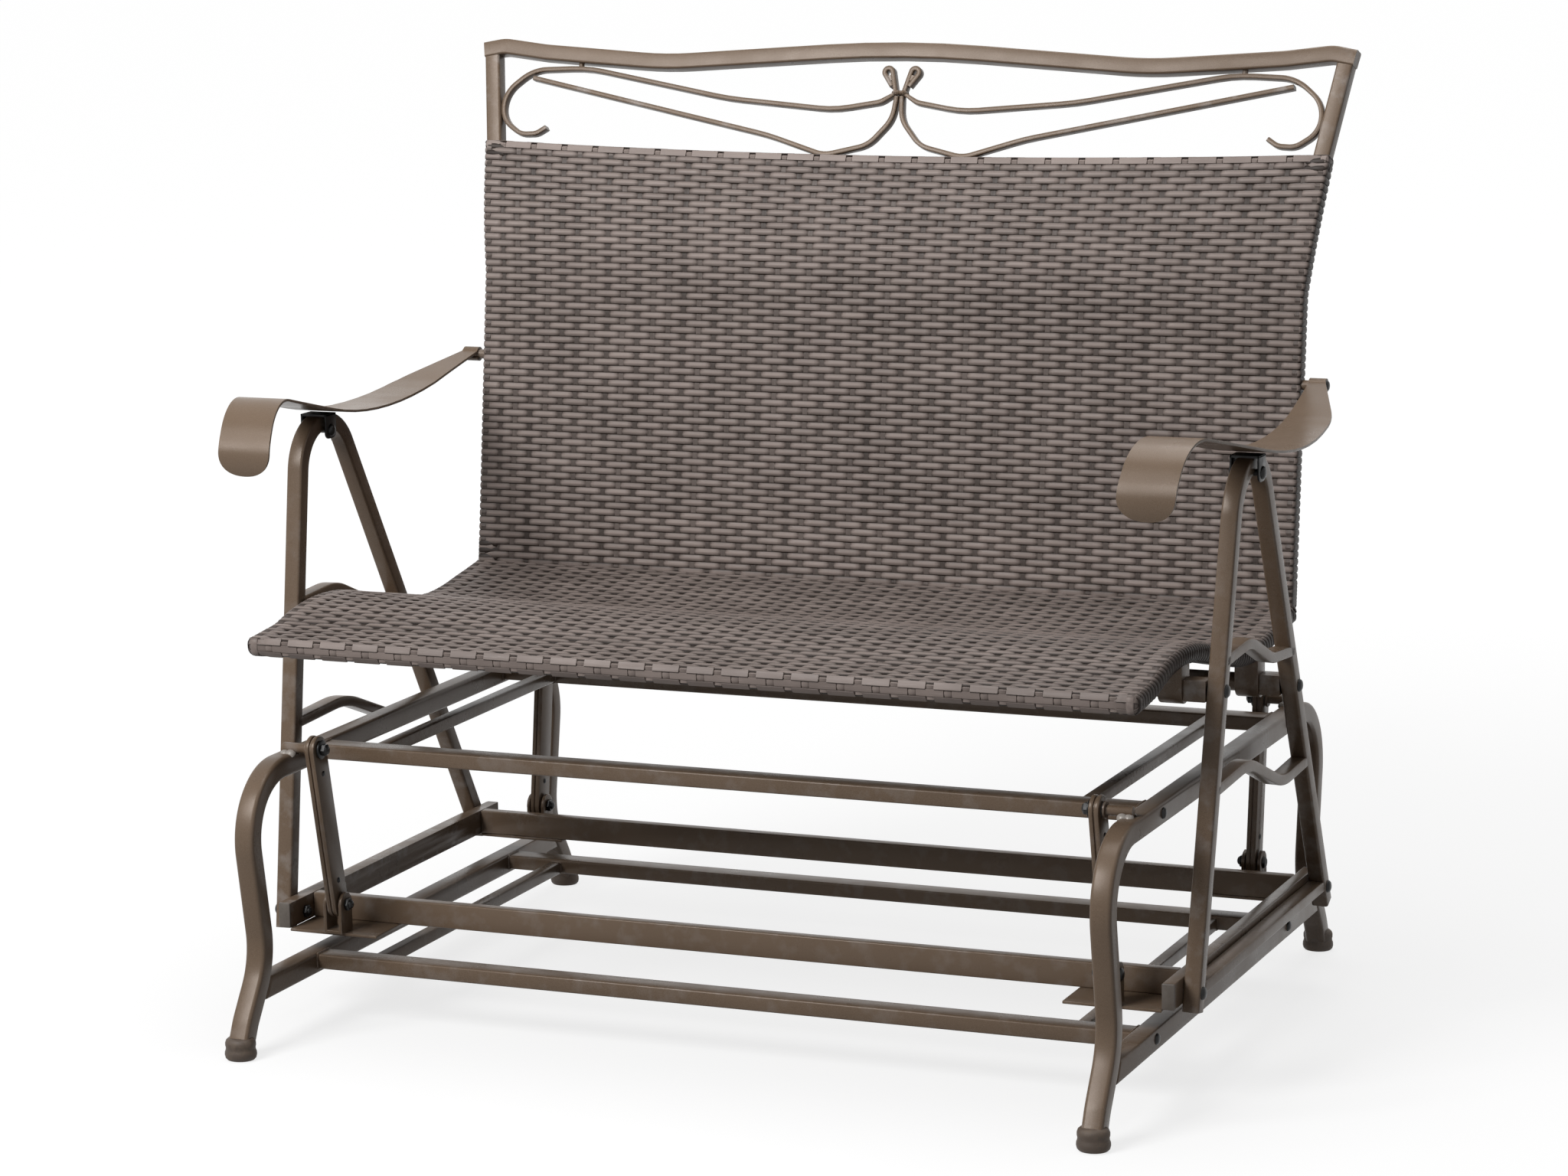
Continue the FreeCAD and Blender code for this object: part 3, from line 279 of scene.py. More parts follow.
def rounded_section(wide: float, tall: float, radius: float, steps: int = 3) -> np.ndarray:
    """Outline of a square bar or tube with round corners.

    Args:
        wide: its size on the first axis.
        tall: its size on the second axis.
        radius: radius of its corners.
        steps: edges in each corner.

    Returns:
        The points, counter-clockwise.
    """
    points = []
    for quarter, (x, y) in enumerate(((1, 1), (-1, 1), (-1, -1), (1, -1))):
        for index in range(steps + 1):
            angle = math.pi / 2 * (quarter + index / steps)
            points.append((x * (wide / 2 - radius) + radius * math.cos(angle),
                           y * (tall / 2 - radius) + radius * math.sin(angle)))
    return np.array(points)


def tube_faces(rings: int, around: int, start: int = 0, capped: bool = True,
               closed: bool = False) -> list[tuple[int, ...]]:
    """Faces that join rings of points into a tube.

    Args:
        rings: how many rings there are.
        around: points in each ring.
        start: number of the first point.
        capped: whether the ends are closed with a face each.
        closed: whether the last ring joins the first.

    Returns:
        The faces.
    """
    faces = []
    for ring in range(rings if closed else rings - 1):
        low, high = start + ring * around, start + (ring + 1) % rings * around
        for index in range(around):
            after = (index + 1) % around
            faces.append((low + index, low + after, high + after, high + index))
    if capped and not closed:
        faces.append(tuple(start + index for index in reversed(range(around))))
        faces.append(tuple(start + (rings - 1) * around + index for index in range(around)))
    return faces


def swept(line: np.ndarray, side: Sequence[float], section: np.ndarray,
          scale: Optional[np.ndarray] = None) -> Shape:
    """A section carried along a line in space.

    Args:
        line: the points of the line.
        side: the direction in which the section's first coordinate runs.
        section: outline of the section, counter-clockwise.
        scale: a factor for the section at each point, or a pair of them.

    Returns:
        The closed bar.
    """
    along = directions(line)
    way = np.asarray(side, float)
    across = unit(way - along * (along @ way)[:, None])
    up = np.cross(along, across)
    size = np.ones((len(line), 2)) if scale is None else np.asarray(scale, float)
    if size.ndim == 1:
        size = np.column_stack((size, size))
    a = section[None, :, 0] * size[:, 0:1]
    b = section[None, :, 1] * size[:, 1:2]
    points = line[:, None] + across[:, None] * a[..., None] + up[:, None] * b[..., None]
    return Shape(points.reshape(-1, 3), tube_faces(len(line), len(section)))


def turned(centre: Sequence[float], axis: Sequence[float], profile: Sequence[Pair],
           sides: int = 28) -> Shape:
    """A turned piece, such as a bolt head or a rubber foot.

    Args:
        centre: the point from which the profile is measured.
        axis: the direction of the turning axis.
        profile: pairs of radius and distance along the axis.
        sides: flats round the piece; 6 makes a nut.

    Returns:
        The closed piece.
    """
    along = np.asarray(axis, float) / np.linalg.norm(axis)
    first = np.cross(along, (0, 0, 1) if abs(along[2]) < 0.9 else (1, 0, 0))
    first /= np.linalg.norm(first)
    second = np.cross(along, first)
    angles = np.arange(sides) * 2 * math.pi / sides
    rings = [np.asarray(centre, float) + along * height
             + radius * (np.cos(angles)[:, None] * first + np.sin(angles)[:, None] * second)
             for radius, height in profile]
    return Shape(np.vstack(rings), tube_faces(len(profile), sides))


def plate(outline: np.ndarray, x_from: float, x_to: float, edge: float) -> Shape:
    """A flat plate across X with rounded edges.

    Args:
        outline: the plate's outline in Y and Z, as one round without the closing point.
        x_from: X of one face.
        x_to: X of the other face.
        edge: how far the rounding of the edges reaches.

    Returns:
        The closed plate.
    """
    before, after = np.roll(outline, 1, axis=0), np.roll(outline, -1, axis=0)
    first, second = unit(outline - before), unit(after - outline)
    along = unit(first + second)
    inward = np.column_stack((-along[:, 1], along[:, 0]))
    area = np.sum(outline[:, 0] * after[:, 1] - after[:, 0] * outline[:, 1])
    inward *= math.copysign(1, area) / np.sum(inward * np.column_stack(
        (-first[:, 1], first[:, 0])), axis=1)[:, None]
    way = math.copysign(edge, x_to - x_from)
    rings = []
    for x, inset in ((x_from, 1.0), (x_from + way * 0.3, 0.3), (x_from + way, 0.0),
                     (x_to - way, 0.0), (x_to - way * 0.3, 0.3), (x_to, 1.0)):
        rim = outline + inward * edge * inset
        rings.append(at_x(x, rim))
    faces = tube_faces(len(rings), len(outline))
    if area * way < 0:
        faces = [face[::-1] for face in faces]
    return Shape(np.vstack(rings), faces)


# Millimetres between two rings of a weld bead
BEAD_STEP = 1.1


def weld_bead(line: np.ndarray, radius: float = 2.0, closed: bool = True) -> Shape:
    """A rippled weld bead along a line.

    Args:
        line: the points of the seam.
        radius: half the bead's width.
        closed: whether the seam runs round the joint.

    Returns:
        The bead.
    """
    points = np.vstack((line, line[:1])) if closed else line
    length = distances(points)[-1]
    count = max(12, int(length / BEAD_STEP))
    at = np.linspace(0, length, count, endpoint=not closed)
    seam = resampled(points, at)
    along = directions(seam)
    if closed:
        along = unit(np.roll(seam, -1, axis=0) - np.roll(seam, 1, axis=0))
    helper = np.where(np.abs(along[:, 2:3]) < 0.9, (0.0, 0.0, 1.0), (1.0, 0.0, 0.0))
    first = unit(np.cross(along, helper))
    second = np.cross(along, first)
    ripple = radius * (1 + 0.16 * np.sin(at * 2.3) + 0.07 * np.sin(at * 5.1 + 1))
    angles = np.arange(8) * math.pi / 4
    rings = seam[:, None] + ripple[:, None, None] * (
        np.cos(angles)[None, :, None] * first[:, None]
        + np.sin(angles)[None, :, None] * second[:, None])
    return Shape(rings.reshape(-1, 3), tube_faces(count, 8, capped=not closed, closed=closed))


def square_seam(centre: Sequence[float], axis: int, wide: float, tall: float,
                corner: float = 2.5) -> np.ndarray:
    """The seam round a square tube that stands on a face.

    Args:
        centre: the middle of the tube's end.
        axis: 0, 1 or 2 for a tube along X, Y or Z.
        wide: the tube's size on the first of the other axes.
        tall: the tube's size on the second of them.
        corner: radius of the tube's corners.

    Returns:
        The seam's points.
    """
    flat = rounded_section(wide, tall, corner)
    seam = np.zeros((len(flat), 3))
    others = [index for index in range(3) if index != axis]
    seam[:, others[0]], seam[:, others[1]] = flat[:, 0], flat[:, 1]
    return seam + np.asarray(centre, float)


# Finishes


class Mixer:
    """Adds nodes to a material or a world and links them."""

    def __init__(self, owner: "bpy.types.Material | bpy.types.World") -> None:
        """Clear the nodes and give them their output.

        Args:
            owner: the material or world whose nodes are built.
        """
        owner.use_nodes = True
        self.owner = owner
        self.tree = owner.node_tree
        self.tree.nodes.clear()
        world = isinstance(owner, bpy.types.World)
        self.output = self.node("OutputWorld" if world else "OutputMaterial")

    def node(self, kind: str, inputs: Optional[dict[str, object]] = None,
             **settings: object) -> bpy.types.Node:
        """Add a node.

        Args:
            kind: the node's type without the words ShaderNode.
            inputs: values or sockets for its inputs, by name.
            settings: the node's own settings.

        Returns:
            The node.
        """
        made = self.tree.nodes.new("ShaderNode" + kind)
        for name, setting in settings.items():
            setattr(made, name, setting)
        for name, given in (inputs or {}).items():
            socket = made.inputs[int(name)] if name.isdigit() else made.inputs[name]
            if isinstance(given, bpy.types.NodeSocket):
                self.tree.links.new(given, socket)
            else:
                socket.default_value = given
        return made

    def noise(self, where: bpy.types.NodeSocket, scale: float, detail: float = 3.0,
              rough: float = 0.55) -> bpy.types.NodeSocket:
        """A noise value from 0 to 1."""
        return self.node("TexNoise", {"Vector": where, "Scale": scale, "Detail": detail,
                                      "Roughness": rough}).outputs["Fac"]

    def stretched(self, scale: Sequence[float]) -> bpy.types.NodeSocket:
        """The object's own coordinates, drawn out by a factor on each axis."""
        place = self.node("TexCoord").outputs["Object"]
        return self.node("Mapping", {"Vector": place, "Scale": tuple(scale)}).outputs["Vector"]

    def band(self, value: bpy.types.NodeSocket, low: float, high: float, start: float = 0.0,
             end: float = 1.0) -> bpy.types.NodeSocket:
        """A value whose span from low to high becomes start to end."""
        return self.node("MapRange", {"Value": value, "From Min": low, "From Max": high,
                                      "To Min": start, "To Max": end}).outputs["Result"]

    def blend(self, share: bpy.types.NodeSocket, first: object, second: object,
              mode: str = "MIX") -> bpy.types.NodeSocket:
        """Two colours mixed by a share.

        Args:
            share: how much of the second colour there is.
            first: a colour or a socket.
            second: a colour or a socket.
            mode: the way of mixing.

        Returns:
            The mixed colour.
        """
        pair = [given if isinstance(given, bpy.types.NodeSocket) else (*given, 1.0)
                for given in (first, second)]
        made = self.node("Mix", {"0": share, "6": pair[0], "7": pair[1]}, data_type="RGBA",
                         blend_type=mode)
        return made.outputs[2]

    def maths(self, operation: str, first: object, second: object) -> bpy.types.NodeSocket:
        """Two values put together by a sum, product or the like."""
        return self.node("Math", {"0": first, "1": second}, operation=operation).outputs[0]

    def times(self, first: object, second: object) -> bpy.types.NodeSocket:
        """One value times another."""
        return self.maths("MULTIPLY", first, second)

    def bump(self, height: bpy.types.NodeSocket, strength: float,
             distance: float) -> bpy.types.NodeSocket:
        """A relief of a height map, whose distance is in metres."""
        return self.node("Bump", {"Height": height, "Strength": strength,
                                  "Distance": distance}).outputs["Normal"]

    def surface(self, **inputs: object) -> bpy.types.Material:
        """Close the material with its shader.

        Args:
            inputs: the shader's inputs, with _ for a space in their names.

        Returns:
            The material.
        """
        shader = self.node("BsdfPrincipled",
                           {name.replace("_", " "): given for name, given in inputs.items()})
        self.close(shader)
        return self.owner

    def close(self, shader: bpy.types.Node) -> None:
        """Lead the last shader to the output."""
        self.tree.links.new(shader.outputs[0], self.output.inputs[0])

    def seen(self) -> bpy.types.NodeSocket:
        """Tell rays that meet the eye from rays that light the bench.

        Returns:
            One for a ray from the camera, from a mirror or through glass, otherwise zero.
        """
        path = self.node("LightPath").outputs
        through = self.maths("MAXIMUM", path["Is Glossy Ray"], path["Is Transmission Ray"])
        return self.maths("MAXIMUM", path["Is Camera Ray"], through)


@dataclass(frozen=True)
class Finish:
    """The look of one material of the bench.

    Attributes:
        name: the material's name.
        slot: the record's slot that it is meant for; not used.
    """

    name: str
    slot: Slot

    def material(self) -> bpy.types.Material:
        """The material, made once."""
        made = bpy.data.materials.get(self.name)
        return made or self.mix(Mixer(bpy.data.materials.new(self.name)))

    def mix(self, mixer: Mixer) -> bpy.types.Material:
        """Build the material's nodes with a mixer."""
        raise NotImplementedError


@dataclass(frozen=True)
class PowderCoat(Finish):
    """Satin taupe powder coat with a fine metallic speckle, rubbed on its edges.

    Attributes:
        light: colour of the speckle's light grains.
        dark: colour between the grains.
        rubbed: colour of the worn edges.
    """

    name: str = "taupe_powder_coat"
    slot: Slot = Slot.POWDER_COAT
    light: Colour = (0.180, 0.128, 0.090)
    dark: Colour = (0.090, 0.058, 0.035)
    rubbed: Colour = (0.30, 0.27, 0.25)

    def mix(self, mixer: Mixer) -> bpy.types.Material:
        """Build the nodes of the powder coat.

        Args:
            mixer: the material's own mixer.

        Returns:
            The material.
        """
        where = mixer.stretched((1, 1, 1))
        cloud = mixer.band(mixer.noise(where, 5, 2), 0.35, 0.65)
        speckle = mixer.noise(where, 1500, 2, 0.7)
        grain = mixer.band(speckle, 0.3, 0.7, 0.15, 0.95)
        colour = mixer.blend(grain, self.dark, self.light)
        colour = mixer.blend(mixer.times(cloud, 0.35), colour, self.light)
        edges = mixer.band(mixer.node("NewGeometry").outputs["Pointiness"], 0.53, 0.60)
        patchy = mixer.band(mixer.noise(where, 38, 4), 0.50, 0.66)
        worn = mixer.times(mixer.times(edges, patchy), 0.7)
        colour = mixer.blend(worn, colour, self.rubbed)
        dust = mixer.band(mixer.noise(where, 14, 5, 0.6), 0.4, 0.7, 0.27, 0.38)
        peel = mixer.noise(where, 420, 2)
        height = mixer.maths("ADD", mixer.times(peel, 0.7), speckle)
        return mixer.surface(Base_Color=colour, Metallic=0.05, Roughness=dust,
                             Specular_IOR_Level=0.20, Normal=mixer.bump(height, 0.10, 0.0004))


@dataclass(frozen=True)
class ResinWicker(Finish):
    """Extruded resin strand: brown, streaked along its length, with a soft gloss.

    Attributes:
        light: colour of a strand's top, where no painted shade falls.
        dark: the painted shade, the colour of its sides and of what lies deep in the weave.
        streak: colour of the pale streaks.
        stretch: the grain's scale on each axis, small along the strand.
    """

    name: str = "brown_resin_weaver"
    slot: Slot = Slot.RESIN_WICKER
    light: Colour = (0.315, 0.258, 0.233)
    dark: Colour = (0.016, 0.010, 0.007)
    streak: Colour = (0.385, 0.330, 0.303)
    stretch: Corner = (0.06, 1.0, 1.0)

    def mix(self, mixer: Mixer) -> bpy.types.Material:
        """Build the nodes of the resin strand.

        Args:
            mixer: the material's own mixer.

        Returns:
            The material.
        """
        tone = mixer.node("Attribute", attribute_name="tone").outputs["Fac"]
        along = mixer.stretched(self.stretch)
        streaks = mixer.noise(along, 900, 3, 0.6)
        cloud = mixer.noise(mixer.stretched((1, 1, 1)), 16, 2)
        share = mixer.maths("ADD", tone, mixer.band(cloud, 0.3, 0.7, -0.05, 0.05))
        # painted shade: where the tone is low, at a strand's sides and deep in the weave, the colour
        # falls to near black
        colour = mixer.blend(mixer.band(share, 0.22, 0.92), self.dark, self.light)
        lit = mixer.times(mixer.band(streaks, 0.56, 0.82, 0, 0.6), share)
        colour = mixer.blend(lit, colour, self.streak)
        gloss = mixer.band(mixer.noise(along, 300, 2), 0.3, 0.7, 0.38, 0.52)
        return mixer.surface(Base_Color=colour, Roughness=gloss, Specular_IOR_Level=0.18,
                             Normal=mixer.bump(streaks, 0.22, 0.0005))


@dataclass(frozen=True)
class BlackSteel(Finish):
    """Blackened bolts and nuts with a thin oily sheen.

    Attributes:
        body: colour of the blackening.
        worn: colour where it is worn thin.
    """

    name: str = "blackened_steel"
    slot: Slot = Slot.BLACK_STEEL
    body: Colour = (0.010, 0.010, 0.010)
    worn: Colour = (0.045, 0.043, 0.041)

    def mix(self, mixer: Mixer) -> bpy.types.Material:
        """Build the nodes of the blackened steel.

        Args:
            mixer: the material's own mixer.

        Returns:
            The material.
        """
        where = mixer.stretched((1, 1, 1))
        marks = mixer.band(mixer.noise(where, 260, 4, 0.7), 0.55, 0.75)
        colour = mixer.blend(mixer.times(marks, 0.6), self.body, self.worn)
        gloss = mixer.band(mixer.noise(where, 120, 3), 0.3, 0.7, 0.28, 0.46)
        return mixer.surface(Base_Color=colour, Metallic=0.2, Roughness=gloss,
                             Specular_IOR_Level=0.3, Normal=mixer.bump(marks, 0.12, 0.0002))


@dataclass(frozen=True)
class Moulded(Finish):
    """Moulded plastic or rubber, matt and a little dusty.

    Attributes:
        body: colour of the plain material.
        dusty: colour where dust lies on it.
        gloss: roughness where it is clean and where it is dusty.
        relief: strength of its fine grain.
    """

    name: str = "black_nylon"
    slot: Slot = Slot.BLACK_NYLON
    body: Colour = (0.022, 0.021, 0.020)
    dusty: Colour = (0.075, 0.068, 0.060)
    gloss: Pair = (0.45, 0.62)
    relief: float = 0.15

    def mix(self, mixer: Mixer) -> bpy.types.Material:
        """Build the nodes of the moulding.

        Args:
            mixer: the material's own mixer.

        Returns:
            The material.
        """
        where = mixer.stretched((1, 1, 1))
        dust = mixer.band(mixer.noise(where, 55, 5, 0.65), 0.42, 0.75)
        grain = mixer.noise(where, 800, 2)
        colour = mixer.blend(mixer.times(dust, 0.7), self.body, self.dusty)
        rough = mixer.band(dust, 0, 1, *self.gloss)
        return mixer.surface(Base_Color=colour, Roughness=rough,
                             Normal=mixer.bump(grain, self.relief, 0.0003))


POWDER = PowderCoat()
STEEL = BlackSteel()
NYLON = Moulded()
RUBBER = Moulded("dark_brown_rubber", Slot.RUBBER, (0.062, 0.043, 0.031), (0.180, 0.135, 0.100),
                 (0.55, 0.80), 0.3)
WEAVER = ResinWicker()
STAKE = ResinWicker("brown_resin_stake", stretch=(1.0, 0.06, 0.06))
WELD = PowderCoat("bright_weld", light=(0.42, 0.39, 0.36), dark=(0.21, 0.18, 0.155))
CAP = Moulded("taupe_end_cap", Slot.BLACK_NYLON, (0.085, 0.070, 0.058), (0.15, 0.13, 0.11),
              (0.45, 0.62), 0.15)


# Placing pieces


@dataclass
class Bench:
    """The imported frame, and the pieces that are placed on it.

    Attributes:
        nodes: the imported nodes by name.
        bodies: the nodes that each body carries.
        made: names of the pieces placed so far.
    """

    nodes: dict[str, bpy.types.Object]
    bodies: dict[str, list[str]]
    made: list[str] = field(default_factory=list)

    def body_of(self, node: str) -> str:
        """The body that carries a node."""
        return next(name for name, members in self.bodies.items() if node in members)

    def add(self, name: str, shape: "Shape | bpy.types.Mesh", finish: Finish, body: str,
            stands_for: Sequence[str] = ()) -> bpy.types.Object:
        """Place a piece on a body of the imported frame.

        Args:
            name: the piece's name.
            shape: its shape, or a finished mesh.
            finish: what it is made of.
            body: the body that it moves with.
            stands_for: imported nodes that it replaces.

        Returns:
            The piece.
        """
        mesh = shape.mesh(name) if isinstance(shape, Shape) else shape
        piece = bpy.data.objects.new(name, mesh)
        bpy.context.scene.collection.objects.link(piece)
        mesh.materials.append(finish.material())
        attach(piece, body)
        if stands_for:
            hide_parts(*stands_for)
        self.made.append(name)
        log.info("%s: %d faces on %s", name, len(mesh.polygons), body)
        return piece

    def soften(self, node: str, width: float, finish: Finish = POWDER,
               sharp: float = 40.0) -> bpy.types.Object:
        """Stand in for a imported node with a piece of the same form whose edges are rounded.

        Args:
            node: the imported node.
            width: how far the rounding reaches from each edge.
            finish: what the piece is made of.
            sharp: edges turned by fewer degrees than this are left alone.

        Returns:
            The piece.
        """
        work = bmesh.new()
        work.from_mesh(self.nodes[node].data)
        bmesh.ops.remove_doubles(work, verts=work.verts, dist=2e-6)
        bmesh.ops.dissolve_limit(work, angle_limit=math.radians(1), verts=work.verts,
                                 edges=work.edges)
        edges = [edge for edge in work.edges if len(edge.link_faces) == 2
                 and edge.calc_face_angle() > math.radians(sharp)]
        bmesh.ops.bevel(work, geom=edges, offset=width * MM, segments=3, profile=0.5,
                        affect="EDGES", clamp_overlap=True)
        mesh = bpy.data.meshes.new(node + "_soft")
        work.to_mesh(mesh)
        work.free()
        mesh.polygons.foreach_set("use_smooth", [True] * len(mesh.polygons))
        mesh.set_sharp_from_angle(angle=math.radians(30))
        return self.add(node + "_piece", mesh, finish, self.body_of(node), (node,))

    def dress(self, finish_of: Callable[[str], Finish]) -> None:
        """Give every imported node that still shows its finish.

        Args:
            finish_of: gives the finish for a node's name.
        """
        for name, node in self.nodes.items():
            if node.hide_render:
                continue
            node.data.materials.clear()
            node.data.materials.append(finish_of(name).material())
            log.info("%s: keeps its packed form", name)


@dataclass
class Assembly:
    """A sub-assembly of the bench.

    Attributes:
        bench: what its pieces are placed on.
    """

    bench: Bench

    def build(self) -> None:
        """Make its pieces and place them."""
        raise NotImplementedError


# Radius and height along a bolt's head, a nut and the nut's cap
DOME = ((7.6, -0.2), (7.6, 0.6), (6.9, 2.1), (5.4, 3.3), (3.2, 4.0), (0.4, 4.25))
HEX_NUT = ((7.0, -0.2), (7.9, 0.9), (7.9, 4.2), (7.0, 5.2))
NUT_CAP = ((5.2, 5.0), (5.0, 6.6), (4.0, 7.9), (2.2, 8.7), (0.3, 8.9))
SHANK_RADIUS = 3.9


def dome_head(centre: Sequence[float], axis: Sequence[float], size: float = 1.0) -> Shape:
    """A round bolt head, standing on a face.

    Args:
        centre: the middle of its seat.
        axis: the way it points.
        size: a factor for all its sizes.

    Returns:
        The head.
    """
    return turned(centre, axis, [(radius * size, height * size) for radius, height in DOME])


def cap_nut(centre: Sequence[float], axis: Sequence[float]) -> Shape:
    """A six-sided nut with a domed end, standing on a face."""
    return Shape.joined((turned(centre, axis, HEX_NUT, 6), turned(centre, axis, NUT_CAP)))


def shank(start: Sequence[float], length: float) -> Shape:
    """The plain part of a bolt, from its start along X."""
    return turned(start, ACROSS, [(SHANK_RADIUS, 0), (SHANK_RADIUS, length)])


# The base


@dataclass
class Base(Assembly):
    """Two bent hoops on rubber feet, tied by crossbars, side rails and inner rails.

    Attributes:
        tube, tube_round: side and corner radius of the hoops' square tube.
        hoop_x: X of the right hoop's middle.
        hoop: front half of the hoop's line: Y, Z and bend radius.
        foot_y: how far the feet stand from the middle.
        foot: radius and height of a rubber foot.
        foot_spread: how much longer a foot is across than along.
        bars: each crossbar's node with its Y and Z.
        bar_deep, bar_tall: size of a crossbar along Y and Z.
        slim_x, slim: X of the right inner rails and side of their tube.
        slim_joints: Z of the lower and upper inner rails, and Y of the faces that they meet.
        bar_edge, rail_edge, slim_edge: rounding of the bars, side rails and inner rails.
        bar_bead, slim_bead: half width of the weld beads on the bars and the inner rails.
        head_size: size of the bolt heads.
    """

    tube: float = 25.0
    tube_round: float = 4.6
    hoop_x: float = 520.8
    hoop: tuple[Corner, ...] = ((-443, 8, 0), (-427, 41, 80), (-382.6, 105.7, 90),
                                (-420, 324.5, 76))
    foot_y: float = 441.0
    foot: tuple[Pair, ...] = (
        (12.0, 0.0), (14.8, 0.5), (16.6, 2.6), (17.4, 6.0), (17.2, 9.5), (16.3, 12.0),
        (16.0, 14.5), (16.6, 17.0), (16.6, 20.5), (15.6, 23.5), (13.5, 25.5), (10.0, 26.0))
    foot_spread: float = 1.1
    bars: tuple[tuple[str, float, float], ...] = (
        ("lower_crossbar_front", -258, 75), ("lower_crossbar_rear", 263, 75),
        ("upper_crossbar_front", -234, 326), ("upper_crossbar_rear", 261, 326))
    bar_deep: float = 30.0
    bar_tall: float = 18.0
    slim_x: float = 441.2
    slim: float = 15.0
    slim_joints: tuple[tuple[float, Pair], ...] = ((73.5, (-243, 248)), (325.5, (-219, 246)))
    bar_edge: float = 2.4
    rail_edge: float = 3.0
    slim_edge: float = 1.8
    bar_bead: float = 1.6
    slim_bead: float = 1.2
    head_size: float = 0.85

    def build(self) -> None:
        """Make every piece of the base."""
        path = at_x(self.hoop_x, bend_line(self.hoop, mirrored=True, step=3))
        hoop = swept(path, ACROSS, rounded_section(self.tube, self.tube, self.tube_round, 4))
        for side in Side:
            self.bench.add(f"hoop_{side.word}", hoop.on(side), POWDER, "base",
                           (f"base_hoop_{side.word}",))
            for end in End:
                foot = turned((0, end.value * self.foot_y, 0), (0, 0, 1), self.foot, 40)
                foot.points[:, 0] = self.hoop_x + foot.points[:, 0] * self.foot_spread
                self.bench.add(f"rubber_foot_{end.word}_{side.word}", foot.on(side), RUBBER,
                               "base", (f"foot_tip_{end.word}_{side.word}",))
        self.rails()
        self.welds()
        self.bolts()

    def rails(self) -> None:
        """Crossbars between the hoops, rails along the skids and the slim inner rails."""
        for name, _, _ in self.bars:
            self.bench.soften(name, self.bar_edge)
        for side in Side:
            self.bench.soften(f"base_side_rail_{side.word}", self.rail_edge)
            for level in ("upper", "lower"):
                self.bench.soften(f"{level}_inner_rail_{side.word}", self.slim_edge)

    def welds(self) -> None:
        """Weld beads where the bars meet the hoops and the inner rails meet the bars."""
        inner = self.hoop_x - self.tube / 2
        beads = []
        for _, y, z in self.bars:
            seam = square_seam((inner, y, z), 0, self.bar_deep, self.bar_tall)
            beads.append(weld_bead(seam, self.bar_bead))
        for z, faces in self.slim_joints:
            for y in faces:
                seam = square_seam((self.slim_x, y, z), 1, self.slim, self.slim)
                beads.append(weld_bead(seam, self.slim_bead))
        right = Shape.joined(beads)
        for side in Side:
            self.bench.add(f"base_welds_{side.word}", right.on(side), POWDER, "base")

    def bolts(self) -> None:
        """Round bolt heads on the outer faces of the hoops and side rails."""
        outer = self.hoop_x + self.tube / 2
        heads = Shape.joined(dome_head((outer, y, z), ACROSS, self.head_size)
                             for _, y, z in self.bars)
        self.bench.add("base_bolt_heads", heads.both(), STEEL, "base", ("base_bolts",))


